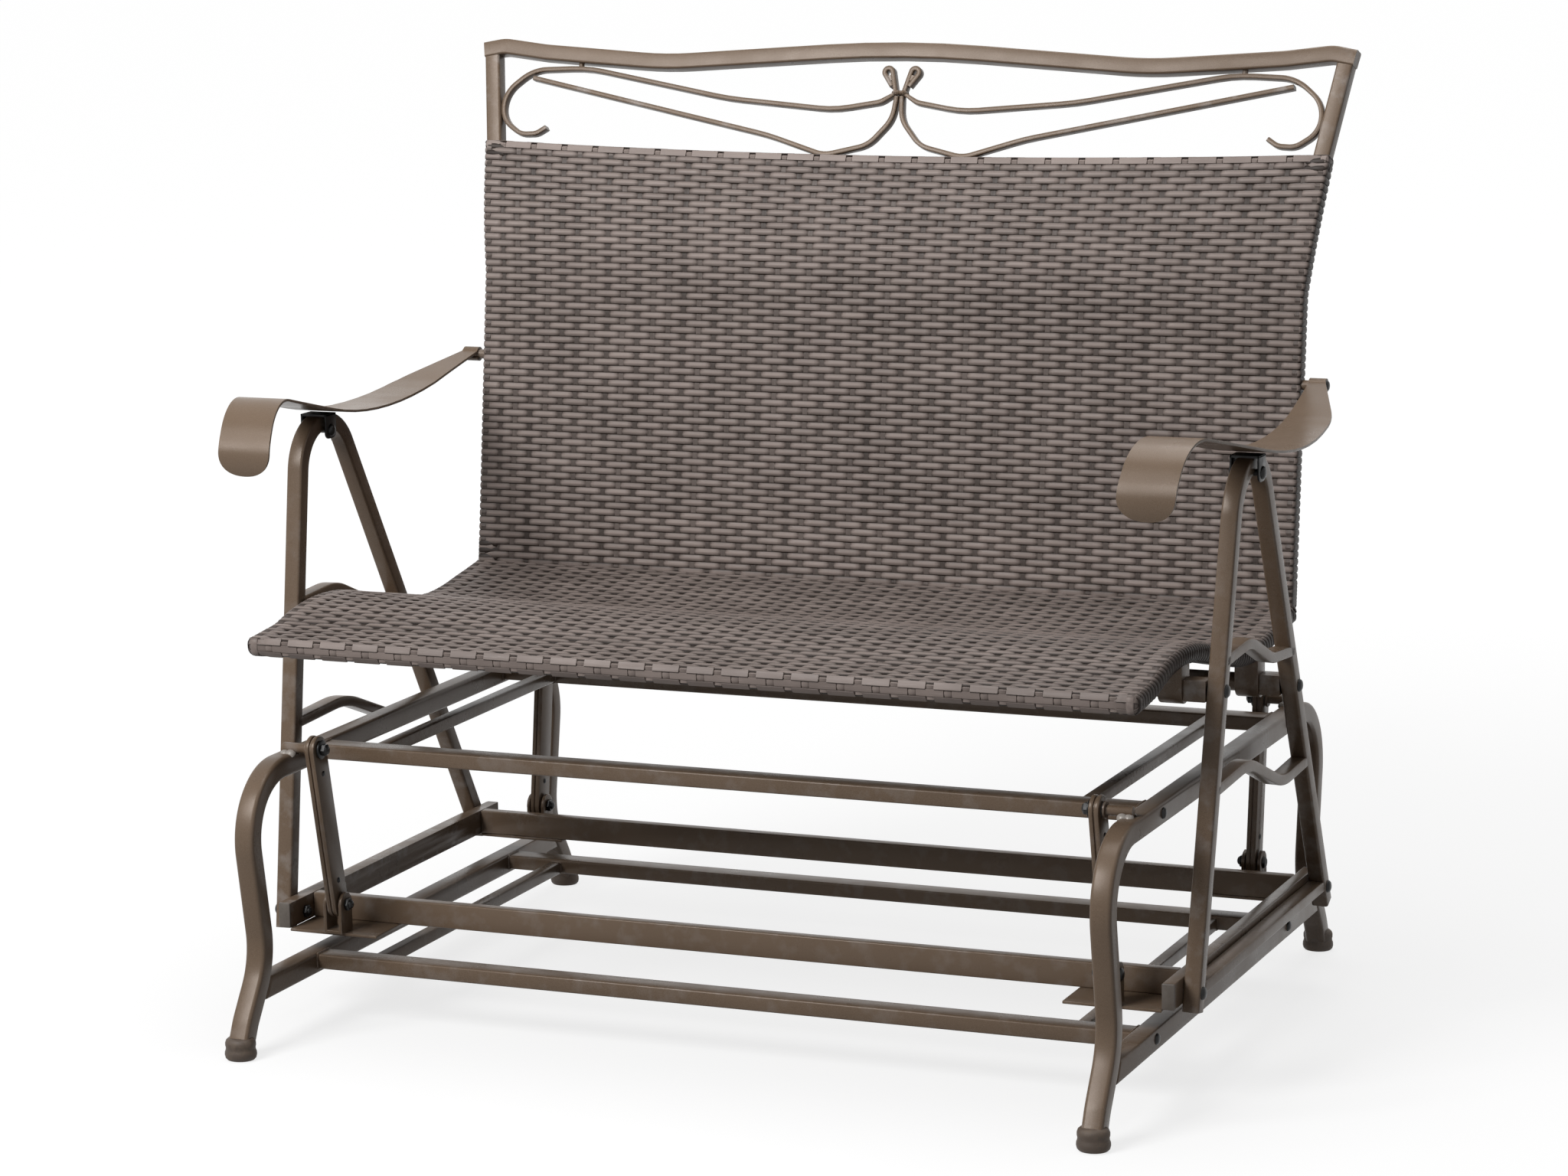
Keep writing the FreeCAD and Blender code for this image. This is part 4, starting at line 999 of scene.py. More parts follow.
@dataclass
class Pivots(Assembly):
    """Rods welded on top of the hoops, with a collar, a washer and a screw at the inner end.

    Attributes:
        spots: Y and Z of the rods.
        rod_radius: radius of a rod.
        outer_x, inner_x: X of a right rod's ends.
        collar_x, collar: X of its collar's inner face, and the collar's radius and height.
        lumps: X and radius of the weld lumps on each side of a rod.
        lump_rounds, lump_tall: angles of a lump's rings, and its height in radii.
        lump_sunk: how deep it sits in the corner under the rod.
        lump_axis: how its axis rises for one step to the side.
        washer, nut, cap: radius and height of the screw's parts.
    """

    spots: tuple[Pair, ...] = ROD_SPOTS
    rod_radius: float = 6.0
    outer_x: float = 523.5
    inner_x: float = 474.6
    collar_x: float = 489.4
    collar: tuple[Pair, ...] = ((9.4, 0), (10, 0.5), (10, 2.5), (9.4, 3))
    lumps: tuple[Pair, ...] = ((512.0, 6.6), (519.5, 5.8))
    lump_rounds: tuple[float, ...] = (0.1, 0.5, 0.9, 1.2, 1.5)
    lump_tall: float = 0.75
    lump_sunk: float = 0.6
    lump_axis: float = 1.1
    washer: tuple[Pair, ...] = ((10.6, -0.1), (11, 0.4), (11, 1.7), (10.4, 2.1))
    nut: tuple[Pair, ...] = ((6.4, 2), (7.2, 2.8), (7.2, 7.4), (6.2, 8.4))
    cap: tuple[Pair, ...] = ((5.4, 8), (5.0, 9.2), (3.4, 10), (0.4, 10.2))

    def build(self) -> None:
        """Make the rods, their welds and the black screws."""
        rods, lumps, screws = [], [], []
        radius, reach = self.rod_radius, self.outer_x - self.inner_x
        rod = ((radius - 0.8, 0), (radius, 0.8), (radius, reach - 1.2),
               (radius - 0.5, reach - 0.3), (radius - 1.4, reach))
        for y, z in self.spots:
            centre = (self.inner_x, y, z)
            rods.append(turned(centre, ACROSS, rod, 32))
            rods.append(turned((self.collar_x, y, z), ACROSS, self.collar, 32))
            for edge in (-1, 1):
                lumps.extend(self.lump(x, y, z, edge, size) for x, size in self.lumps)
            screws.append(turned(centre, INWARD, self.washer))
            screws.append(turned(centre, INWARD, self.nut, 6))
            screws.append(turned(centre, INWARD, self.cap))
        for name, shapes, finish, nodes in (
                ("rod_welds", lumps, WELD, ()),
                ("welded_pivot_rods", rods, POWDER, ("pivot_rods",)),
                ("pivot_screws", screws, STEEL, ("rod_retaining_screws",))):
            self.bench.add(name, Shape.joined(shapes).both(), finish, "base", nodes)

    def lump(self, x: float, y: float, z: float, edge: int, size: float) -> Shape:
        """One weld lump in the corner between a rod and the hoop.

        Args:
            x: its place along the rod.
            y: Y of the rod.
            z: Z of the rod.
            edge: -1 before the rod, 1 behind it.
            size: its radius.

        Returns:
            The lump.
        """
        radius, sunk = self.rod_radius, self.lump_sunk
        rings = [(size * math.cos(angle), size * self.lump_tall * math.sin(angle))
                 for angle in self.lump_rounds]
        return turned((x, y + edge * (radius - sunk), z - radius - sunk),
                      (0, edge, self.lump_axis), rings, 16)


# The glider


@dataclass
class Links(Assembly):
    """Swing links of two riveted plates, and the hangers with their bolts.

    Attributes:
        upper: Y and Z of the front and rear links' upper pivots.
        lower: Y and Z of their lower pivots.
        link_x, link_wide: X of a link's faces, and its width.
        groove: gap between its outer plates.
        core_inset, core_sunk: how far its spacer's edge and faces lie inside its own.
        ear_x: X of the outer faces of a hanger's ears.
        plate_edge, core_edge, hanger_edge: rounding of the plates, spacer and hangers.
        rivet_share: where the rivets sit between the pivots, from the upper one.
        rivet: radius and height of a rivet head.
    """

    upper: tuple[Pair, ...] = ROD_SPOTS
    lower: tuple[Pair, ...] = ((-266.46, 147.30), (290.10, 144.80))
    link_x: Pair = (476.0, 488.0)
    link_wide: float = 32.0
    groove: float = 1.6
    core_inset: float = 1.8
    core_sunk: float = 2.0
    ear_x: Pair = (470.0, 494.0)
    plate_edge: float = 1.1
    core_edge: float = 0.2
    hanger_edge: float = 0.9
    rivet_share: Pair = (0.155, 0.845)
    rivet: tuple[Pair, ...] = ((3.4, -0.3), (3.4, 0.3), (2.6, 1.1), (1.2, 1.5), (0.3, 1.6))

    def build(self) -> None:
        """Make the links with their rivets, the hangers and the hanger bolts."""
        for row, end in enumerate(End):
            for side in Side:
                place = f"{end.word}_{side.word}"
                self.bench.add(f"link_plates_{place}", self.plates(row).on(side), POWDER,
                               f"{place}_link", (f"swing_link_{place}",))
                self.bench.add(f"link_rivets_{place}", self.rivets(row).on(side), STEEL,
                               f"{place}_link")
                self.bench.soften(f"hanger_{place}", self.hanger_edge, sharp=50)
        inner, outer = self.ear_x
        bolts = []
        for y, z in self.lower:
            bolts.append(dome_head((outer, y, z), ACROSS))
            bolts.append(cap_nut((inner, y, z), INWARD))
            bolts.append(shank((inner, y, z), outer - inner))
        self.bench.add("hanger_bolts_and_nuts", Shape.joined(bolts).both(), STEEL, "glider",
                       ("hanger_bolts",))

    def outline(self, row: int, radius: float) -> np.ndarray:
        """A plate's outline, with a half round about each pivot.

        Args:
            row: 0 for a front link, 1 for a rear one.
            radius: half the plate's width.

        Returns:
            The points in Y and Z.
        """
        top, low = np.array(self.upper[row]), np.array(self.lower[row])
        lean = math.atan2(*(top - low)[::-1])
        half = np.linspace(-math.pi / 2, math.pi / 2, 15)
        ends = []
        for centre, way in ((top, 0.0), (low, math.pi)):
            angles = lean + way + half
            ends.append(centre + radius * np.column_stack((np.cos(angles), np.sin(angles))))
        return np.vstack(ends)

    def plates(self, row: int) -> Shape:
        """Two plates with a narrower spacer plate between them.

        Args:
            row: 0 for a front link, 1 for a rear one.

        Returns:
            The three plates.
        """
        inner, outer = self.link_x
        middle, half = (inner + outer) / 2, self.link_wide / 2
        rim, core = self.outline(row, half), self.outline(row, half - self.core_inset)
        return Shape.joined((
            plate(rim, inner, middle - self.groove / 2, self.plate_edge),
            plate(core, inner + self.core_sunk, outer - self.core_sunk, self.core_edge),
            plate(rim, middle + self.groove / 2, outer, self.plate_edge)))

    def rivets(self, row: int) -> Shape:
        """Four rivet heads on a link, two on each face.

        Args:
            row: 0 for a front link, 1 for a rear one.

        Returns:
            The heads.
        """
        top, low = np.array(self.upper[row]), np.array(self.lower[row])
        heads = []
        for share in self.rivet_share:
            y, z = top + (low - top) * share
            for x, way in zip(self.link_x, (INWARD, ACROSS)):
                heads.append(turned((x, y, z), way, self.rivet))
        return Shape.joined(heads)


@dataclass
class GliderFrame(Assembly):
    """The rails of the glider and the A-shaped side frames that stand on them.

    Attributes:
        rail_face, rail_thick: X of the right side rail's outer face, and its size along X.
        rail_low: Z of its underside.
        lean: degrees that a side frame leans outward.
        tube, tube_round: side and corner radius of its square tube.
        frame: the frame's line: Y, Z and bend radius.
        waves, wave_tall: the lines of its two waved bars, and their height.
        low_bolts: Y and Z of the bolts through the frame's feet.
        seat_bolts: Y and Z of the seat's front and rear cross tubes and their bolts.
        saddle_bolt: Y and Z of the bolt through the arm's saddle.
        saddle_faces, saddle_shank: X of the saddle's faces, and length of that bolt's shank.
        barrel_bolt, barrel_head: X, Y and Z of the bolt head on the arm's barrel, and its size.
        carrier, tube_gap: radius of a cross tube, and how far short of the frame it ends.
        cradle, cradle_x: half width and X of the round-bottomed saddle that carries the seat.
        cradle_low: how far the middle of its round bottom lies under the cross tube's.
        cradle_sunk: how far its top reaches into the seat.
        sleeve: side of the square sleeve between the cradle and the frame.
        seat_line, seat_thick: the line of the seat's top, and the seat's thickness.
        rail_edge, stretcher_edge, cap_edge: rounding of the rails, stretchers and end caps.
    """

    rail_face: float = 558.5
    rail_thick: float = 15.0
    rail_low: float = 113.0
    lean: float = 1.55
    tube: float = 20.0
    tube_round: float = 3.0
    frame: tuple[Corner, ...] = ((-237.7, 104, 0), (-112, 818.6, 63), (287, 104, 0))
    waves: tuple[tuple[Corner, ...], ...] = (
        ((-195, 346, 0), (-69, 351, 150), (72, 298.6, 150), (172, 303, 0)),
        ((-172, 488, 0), (-78, 493, 100), (12, 457, 100), (96, 450, 0)))
    wave_tall: float = 13.0
    low_bolts: tuple[Pair, ...] = ((-234, 125), (276, 125))
    seat_bolts: tuple[Pair, ...] = ((-176, 455), (119.6, 404))
    saddle_bolt: Pair = (-85, 686)
    saddle_faces: Pair = (567.0, 601.5)
    saddle_shank: float = 34.0
    barrel_bolt: Corner = (569.8, 288.6, 733)
    barrel_head: float = 0.9
    carrier: float = 11.0
    tube_gap: float = 0.4
    cradle: float = 15.0
    cradle_x: Pair = (512.0, 541.0)
    cradle_low: float = 2.0
    cradle_sunk: float = 5.0
    sleeve: float = 24.0
    seat_line: tuple[Corner, ...] = SEAT_LINE
    seat_thick: float = 24.0
    rail_edge: float = 1.8
    stretcher_edge: float = 2.0
    cap_edge: float = 1.0

    def turn(self) -> Matrix:
        """The lean of a side frame about its foot."""
        foot = Matrix.Translation((self.rail_face, 0, self.rail_low))
        return foot @ Matrix.Rotation(math.radians(self.lean), 4, "Y") @ foot.inverted()

    def face(self, z: float, outward: float = 0.0) -> float:
        """X of the leaning frame.

        Args:
            z: the height.
            outward: 0 for its inner face, 1 for its outer face.

        Returns:
            X of that face of the right frame.
        """
        angle = math.radians(self.lean)
        return (self.rail_face + math.tan(angle) * (z - self.rail_low)
                + outward * self.tube / math.cos(angle))

    def build(self) -> None:
        """Make the rails, the side frames, their cross bars and their bolts."""
        for end in End:
            self.bench.soften(f"glider_cross_rail_{end.word}", self.rail_edge)
        middle = self.rail_face + self.tube / 2
        square = rounded_section(self.tube, self.tube, self.tube_round, 4)
        low = rounded_section(self.tube, self.wave_tall, 2.4)
        frame = swept(at_x(middle, bend_line(self.frame, step=3)), ACROSS, square)
        bars = Shape.joined(swept(at_x(middle, bend_line(wave, step=3)), ACROSS, low)
                            for wave in self.waves)
        for side in Side:
            self.bench.soften(f"glider_side_rail_{side.word}", self.rail_edge)
            self.bench.soften(f"side_stretcher_{side.word}", self.stretcher_edge)
            self.bench.add(f"arm_frame_{side.word}", frame.placed(self.turn()).on(side), POWDER,
                           "glider", (f"side_frame_{side.word}",))
            self.bench.add(f"waved_bars_{side.word}", bars.placed(self.turn()).on(side), POWDER,
                           "glider", (f"side_braces_{side.word}",))
        self.bench.soften("rail_end_caps", self.cap_edge, CAP)
        self.carriers()
        self.bolts()

    def carriers(self) -> None:
        """Cross tubes under the seat, with a round-bottomed saddle and a square sleeve a side."""
        half, inner = self.sleeve / 2, self.cradle_x[1]
        angles = np.radians(np.linspace(180, 360, 15))
        for end, (y, z) in zip(End, self.seat_bolts):
            reach = self.face(z) - self.tube_gap
            tube = turned((-reach, y, z), ACROSS, [(self.carrier, 0), (self.carrier, 2 * reach)], 32)
            bottom = np.column_stack((y + self.cradle * np.cos(angles),
                                      z - self.cradle_low + self.cradle * np.sin(angles)))
            top = self.seat_under(y) + self.cradle_sunk
            rim = np.vstack((bottom, ((y + self.cradle, top), (y - self.cradle, top))))
            square = rectangle((y - half, z - half), (y + half, z + half))
            right = Shape.joined((plate(rim, *self.cradle_x, 1.5),
                                  plate(square, inner, reach, 1.0)))
            self.bench.add(f"seat_carrier_{end.word}", Shape.joined((tube, right.both())), POWDER,
                           "glider", (f"seat_cross_tube_{end.word}",))

    def seat_under(self, y: float) -> float:
        """Height of the seat's underside over a cross tube."""
        line = bend_line(self.seat_line)
        return float(np.interp(y, line[:, 0], line[:, 1])) - self.seat_thick

    def bolts(self) -> None:
        """Round heads outside and capped nuts inside, all along X."""
        parts = []
        for y, z in self.low_bolts:
            parts.append(dome_head((self.face(z, 1), y, z), ACROSS))
            parts.append(cap_nut((self.rail_face - self.rail_thick, y, z), INWARD))
        for y, z in self.seat_bolts:
            parts.append(dome_head((self.face(z, 1), y, z), ACROSS))
        y, z = self.saddle_bolt
        for x, axis in zip(self.saddle_faces, (INWARD, ACROSS)):
            parts.append(dome_head((x, y, z), axis))
        parts.append(shank((self.saddle_faces[0], y, z), self.saddle_shank))
        parts.append(dome_head(self.barrel_bolt, ACROSS, self.barrel_head))
        self.bench.add("frame_bolts_and_nuts", Shape.joined(parts).both(), STEEL, "glider",
                       ("frame_bolts",))


@dataclass
class Armrest(Assembly):
    """A flat strap that bows outward, with a hanging round tip and a barrel at the back.

    Attributes:
        line: the strap's upper line from its tip: Y, Z and bend radius.
        thick: thickness of the strap.
        outer: the strap's outer edge seen from above: Y, X and bend radius.
        inner: three points, Y and X, of the arc along its inner edge.
        roll_y: Y from which the strap keeps its width.
        roll_turn, roll_steps: degrees at which its roll begins and ends, and points along it.
        tip_long, tip_steps: length of the round tip, and points along it.
        tip_power: how square the tip is; 2 would be an ellipse.
        strap_step: distance between two points of the strap.
        barrel, barrel_x: radius, Y and Z of the barrel, and X of its ends.
        saddle_y, saddle_half: Y of the black saddle's middle, and half its width.
        saddle_low, saddle_top: Z of its lower edge and its top.
        saddle_x: X of its outer faces.
        saddle_corner, saddle_thick: radius of its lower corners, and thickness of its plate.
    """

    line: tuple[Corner, ...] = ((-334, 667, 0), (-343, 690, 46), (-302, 758, 64),
                                (30, 686.6, 730), (284, 733, 0))
    thick: float = 3.0
    outer: tuple[Corner, ...] = ((-360, 577, 0), (-30, 627, 1300), (170, 611, 200),
                                 (286, 569.5, 0))
    inner: tuple[Pair, ...] = ((-360, 508.5), (-20, 553), (300, 548))
    roll_y: float = 283.0
    roll_turn: Pair = (150, -150)
    roll_steps: int = 26
    tip_long: float = 30.0
    tip_power: float = 2.3
    tip_steps: int = 28
    strap_step: float = 5.0
    barrel: Corner = (6.0, 288.6, 733.0)
    barrel_x: Pair = (538.7, 570.0)
    saddle_y: float = -85.0
    saddle_half: float = 13.0
    saddle_low: float = 676.0
    saddle_top: float = 706.0
    saddle_x: Pair = (567.0, 601.5)
    saddle_corner: float = 8.0
    saddle_thick: float = 2.5

    @staticmethod
    def arc_x(points: Sequence[Pair], y: np.ndarray) -> np.ndarray:
        """X on an arc of the plan.

        Args:
            points: Y and X of three points of the arc.
            y: the places along it.

        Returns:
            X at each y.
        """
        (y0, x0), (y1, x1), (y2, x2) = points
        rows = np.array([[2 * (y1 - y0), 2 * (x1 - x0)], [2 * (y2 - y0), 2 * (x2 - x0)]])
        sums = np.array([y1**2 + x1**2 - y0**2 - x0**2, y2**2 + x2**2 - y0**2 - x0**2])
        cy, cx = np.linalg.solve(rows, sums)
        radius = math.hypot(y0 - cy, x0 - cx)
        return cx + math.copysign(1, x1 - cx) * np.sqrt(np.maximum(radius**2 - (y - cy)**2, 0))

    def edges(self, line: np.ndarray, steps: np.ndarray) -> tuple[np.ndarray, np.ndarray]:
        """X of the strap's edges.

        Args:
            line: the strap's line in Y and Z.
            steps: how far along it each point lies.

        Returns:
            X of the inner and of the outer edge at each point.
        """
        y = np.minimum(line[:, 0], self.roll_y)
        plan = bend_line(self.outer, step=2)
        outer = np.interp(y, plan[:, 0], plan[:, 1])
        inner = self.arc_x(self.inner, y)
        rest = np.clip(1 - steps / self.tip_long, 0, 1)
        share = (1 - rest**self.tip_power) ** (1 / self.tip_power)
        middle, half = (inner + outer) / 2, (outer - inner) / 2 * np.maximum(share, 0.03)
        return middle - half, middle + half

    def path(self) -> np.ndarray:
        """The strap's upper line, from its hanging tip to the roll round the barrel.

        Returns:
            The points in Y and Z.
        """
        flat = bend_line(self.line, step=2.5)
        radius, y, z = self.barrel
        roll = radius + self.thick
        angles = np.radians(np.linspace(*self.roll_turn, self.roll_steps))
        eye = np.column_stack((y + roll * np.cos(angles), z + roll * np.sin(angles)))
        return np.vstack((flat[flat[:, 0] < y - roll - 6], eye))

    def strap(self) -> Shape:
        """The strap with rounded edges.

        Returns:
            The closed strap.
        """
        flat = self.path()
        roll = distances(flat)[-self.roll_steps:]
        tip = self.tip_long * np.linspace(0, 1, self.tip_steps) ** 2
        middle = np.arange(self.tip_long + 4, roll[0] - 2, self.strap_step)
        at = np.concatenate((tip, middle, roll))
        flat = resampled(flat, at)
        inner, outer = self.edges(flat, at)
        along = directions(flat)
        up = np.column_stack((-along[:, 1], along[:, 0]))
        half = self.thick / 2
        mid = flat - up * half
        profile = ((0.0, -half), (0.6, -half), (1.0, -half * 0.3), (1.0, half * 0.3), (0.6, half),
                   (0.0, half))
        points = []
        for index in range(len(flat)):
            for edge, way in ((outer[index], 1), (inner[index], -1)):
                for reach, offset in profile[::way]:
                    y, z = mid[index] + up[index] * offset
                    points.append((edge - way * (1 - reach), y, z))
        faces = tube_faces(len(flat), 2 * len(profile))
        return Shape(np.array(points), [face[::-1] for face in faces])

    def saddle(self) -> Shape:
        """The black bracket that straddles the top of the side frame.

        Returns:
            Its two cheeks and the bridge between them.
        """
        front, rear = self.saddle_y - self.saddle_half, self.saddle_y + self.saddle_half
        low, top, corner = self.saddle_low, self.saddle_top, self.saddle_corner
        cheek = bend_line(((front, top, 0), (front, low, corner), (rear, low, corner),
                           (rear, top, 0)), step=12)
        under = top - self.saddle_thick
        parts = [plate(cheek, x, x + way * self.saddle_thick, 0.6)
                 for x, way in zip(self.saddle_x, (1, -1))]
        parts.append(plate(rectangle((front, under), (rear, top)), *self.saddle_x, 0.5))
        return Shape.joined(parts)

    def build(self) -> None:
        """Make both armrests and the brackets under them."""
        radius, y, z = self.barrel
        reach = self.barrel_x[1] - self.barrel_x[0]
        rings = ((radius - 0.8, 0), (radius, 0.8), (radius, reach - 0.8), (radius - 0.8, reach))
        barrel = turned((self.barrel_x[0], y, z), ACROSS, rings)
        right = Shape.joined((self.strap(), barrel))
        for side in Side:
            self.bench.add(f"arm_strap_{side.word}", right.on(side), POWDER, "glider",
                           (f"armrest_{side.word}",))
            self.bench.add(f"arm_saddle_{side.word}", self.saddle().on(side), STEEL, "glider",
                           (f"arm_bracket_{side.word}",))


# The woven panels


@dataclass(frozen=True)
class Strand:
    """The section of a weaver, and the painted shade on it.

    Attributes:
        half: half its thickness.
        square: 1 for a round section, and less for a flatter one.
        sunk: how much darker painted shade makes it where it goes deep.
        sides: how much darker painted shade makes it along its sides.
        sides_power: how closely that painted shade keeps to the sides.
    """

    half: float
    square: float = 1.0
    sunk: float = 0.65
    sides: float = 1.1
    sides_power: float = 3.4


@dataclass
class Weave(Assembly):
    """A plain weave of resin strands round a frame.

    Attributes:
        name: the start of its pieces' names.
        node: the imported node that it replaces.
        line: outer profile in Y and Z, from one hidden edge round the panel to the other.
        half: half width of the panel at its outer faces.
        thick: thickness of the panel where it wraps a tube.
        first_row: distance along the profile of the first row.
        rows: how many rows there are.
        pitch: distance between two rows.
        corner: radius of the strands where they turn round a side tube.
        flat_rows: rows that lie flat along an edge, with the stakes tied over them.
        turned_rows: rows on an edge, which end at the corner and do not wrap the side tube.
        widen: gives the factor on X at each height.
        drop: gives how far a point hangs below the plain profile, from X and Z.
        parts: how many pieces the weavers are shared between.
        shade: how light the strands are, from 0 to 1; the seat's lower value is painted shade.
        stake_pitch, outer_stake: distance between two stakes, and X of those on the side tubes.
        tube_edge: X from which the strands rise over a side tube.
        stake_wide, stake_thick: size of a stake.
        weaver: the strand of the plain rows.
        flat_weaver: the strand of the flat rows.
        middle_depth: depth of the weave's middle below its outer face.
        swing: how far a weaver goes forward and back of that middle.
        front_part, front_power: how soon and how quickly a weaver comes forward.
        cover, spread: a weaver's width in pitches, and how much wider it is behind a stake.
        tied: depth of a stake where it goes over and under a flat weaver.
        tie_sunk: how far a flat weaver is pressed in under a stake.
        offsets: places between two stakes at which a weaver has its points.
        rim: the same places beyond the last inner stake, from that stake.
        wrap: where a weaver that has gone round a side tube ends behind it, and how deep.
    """

    name: str
    node: str
    line: np.ndarray
    half: float
    thick: float
    first_row: float
    rows: int
    pitch: float
    corner: float = 3.5
    flat_rows: tuple[int, ...] = ()
    turned_rows: tuple[int, ...] = ()
    widen: Callable[[np.ndarray], np.ndarray] = staticmethod(lambda z: np.ones_like(z))
    drop: Callable[[np.ndarray, np.ndarray], np.ndarray] = staticmethod(
        lambda x, z: np.zeros((len(x), 2)))
    parts: int = 2
    shade: float = 0.82
    stake_pitch: float = 21.0
    outer_stake: float = 533.5
    tube_edge: float = 514.0
    stake_wide: float = 8.0
    stake_thick: float = 1.8
    weaver: Strand = Strand(1.7)
    flat_weaver: Strand = Strand(1.1, 0.45, 0.35, 0.7, 8.0)
    middle_depth: float = 3.7
    swing: float = 1.85
    front_part: float = 0.65
    front_power: float = 0.6
    cover: float = 1.10
    spread: float = 0.10
    tied: Pair = (1.25, 3.4)
    tie_sunk: float = 2.3
    offsets: tuple[float, ...] = (0, 4.0, 7.0, 10.5, 14.0, 17.0)
    rim: tuple[float, ...] = (0, 3.5, 6.5, 10)
    wrap: tuple[Pair, ...] = ((8, 0), (18, 0.6), (26, 3.5))

    def __post_init__(self) -> None:
        """Measure the profile, place the stakes and fix the chance differences of the rows."""
        self.steps = distances(self.line)
        self.along = unit(np.gradient(self.line, self.steps, axis=0))
        self.row_tone = np.random.default_rng(self.rows).uniform(0, 1, self.rows)
        count = int((self.outer_stake - 10) / self.stake_pitch)
        inner = (np.arange(-count, count + 2) - 0.5) * self.stake_pitch
        self.inner_x = inner[np.abs(inner) < self.outer_stake - 10]
        self.stakes = np.concatenate(([-self.outer_stake], self.inner_x, [self.outer_stake]))

    def at(self, v: np.ndarray) -> tuple[np.ndarray, np.ndarray, np.ndarray]:
        """The profile at distances along it.

        Args:
            v: the distances.

        Returns:
            Place in Y and Z, direction and outward normal at each distance.
        """
        place = resampled(self.line, v)
        along = unit(np.column_stack([np.interp(v, self.steps, column)
                                      for column in self.along.T]))
        ahead = np.column_stack((-along[:, 1], along[:, 0]))
        return place, at_x(0.0, along), at_x(0.0, ahead)

    def centres(self, x: np.ndarray, depth: np.ndarray, v: np.ndarray) -> np.ndarray:
        """Points in space, from their places on the panel.

        Args:
            x: places across the panel.
            depth: depths below its outer face.
            v: distances along the profile.

        Returns:
            The points.
        """
        place, _, normal = self.at(v)
        points = np.column_stack((x * self.widen(place[:, 1]), place))
        points[:, 1:] -= self.drop(x, place[:, 1])
        return points - normal * depth[:, None]

    def row_plan(self, index: int) -> tuple[np.ndarray, np.ndarray, np.ndarray]:
        """X, depth and width factor of one row, from behind one side round to the other.

        Args:
            index: the row's number.

        Returns:
            Three arrays along the strand.
        """
        skin, flat = self.weaver.half, index in self.flat_rows
        start = self.half - skin - self.corner
        # places across the panel, closer together where the strand bends
        offsets = self.offsets
        if flat:
            near, far = self.stake_wide / 2 - 0.2, self.stake_wide / 2 + 0.5
            offsets = (0, near, far, self.stake_pitch / 2, self.stake_pitch - far,
                       self.stake_pitch - near)
        inner = (self.inner_x[:-1, None] + np.array(offsets)[None]).ravel()
        rim = np.concatenate((self.inner_x[-1] + np.array(self.rim),
                              (self.outer_stake - 5, self.outer_stake - 2.5, self.outer_stake,
                               start)))
        x = np.concatenate((-rim[::-1], inner[1:], rim))
        # in front of one stake and behind the next
        places = np.interp(x, self.stakes, np.arange(len(self.stakes)))
        phase = np.cos(math.pi * (places + index))
        front = np.clip((phase + 1) / self.front_part, 0, 1) ** self.front_power
        depth = self.middle_depth + self.swing * (1 - 2 * front)
        wide = self.cover + self.spread * (1 - front)
        if flat:
            away = np.arccos(np.clip(-phase, -1, 1)) / math.pi * self.stake_pitch
            under = away < self.stake_wide / 2 + 0.1
            depth = self.flat_weaver.half + 0.2 + self.tie_sunk * under
            wide = np.full(len(x), 1.04)
        # close over the side tube, tucked in behind its stake in every other row
        over_tube = np.clip((np.abs(x) - self.tube_edge) / 6.5, 0, 1)
        over_tube = over_tube * over_tube * (3 - 2 * over_tube)
        tuck = np.where(phase < 0, 1.0, 0.0) * np.exp(-((np.abs(x) - self.outer_stake) / 5) ** 4)
        depth = depth * (1 - over_tube) + (skin + 0.1 + 1.2 * tuck) * over_tube
        # round the side, and behind it unless the row ends there
        turn = np.linspace(0, math.pi / 2, 5)[1:]
        ends_x = start + self.corner * np.sin(turn)
        ends_d = skin + self.corner * (1 - np.cos(turn))
        if index not in self.turned_rows:
            low = self.thick - skin - self.corner
            inward, lift = np.array(self.wrap, float).T
            ends_x = np.concatenate((ends_x, [self.half - skin], start + self.corner * np.cos(turn),
                                     start - inward))
            ends_d = np.concatenate((ends_d, [low], low + self.corner * np.sin(turn),
                                     self.thick - skin - lift))
        wide_end = np.full(len(ends_x), 1.03)
        return (np.concatenate((-ends_x[::-1], x, ends_x)),
                np.concatenate((ends_d[::-1], depth, ends_d)),
                np.concatenate((wide_end, wide, wide_end)))

    def row(self, index: int) -> Shape:
        """One weaver from end to end.

        Args:
            index: the row's number.

        Returns:
            The closed strand, light on top and dark at its sides by painted shade.
        """
        x, depth, wide = self.row_plan(index)
        flat = index in self.flat_rows
        strand = self.flat_weaver if flat else self.weaver
        # rows wander a little, as handwork does
        drift = 0.35 * np.sin(x / 150 + index * 0.25) + 0.12 * np.sin(x / 47 + index * 0.4)
        v = self.first_row + index * self.pitch + (0 if flat else 1) * drift
        depth = depth + 0.1 * np.sin(x / 33 + index * 5.3)
        centre = self.centres(x, depth, v)
        along = directions(centre)
        _, across, _ = self.at(v)
        across = unit(across - along * np.sum(across * along, axis=1)[:, None])
        outward = np.cross(along, across)
        angles = np.arange(8) * math.pi / 4
        aside = np.abs(np.cos(angles))
        a = np.sign(np.cos(angles)) * aside ** strand.square * self.pitch / 2
        b = np.sin(angles) * strand.half
        points = (centre[:, None] + across[:, None] * (a[None] * wide[:, None])[..., None]
                  + outward[:, None] * b[None, :, None])
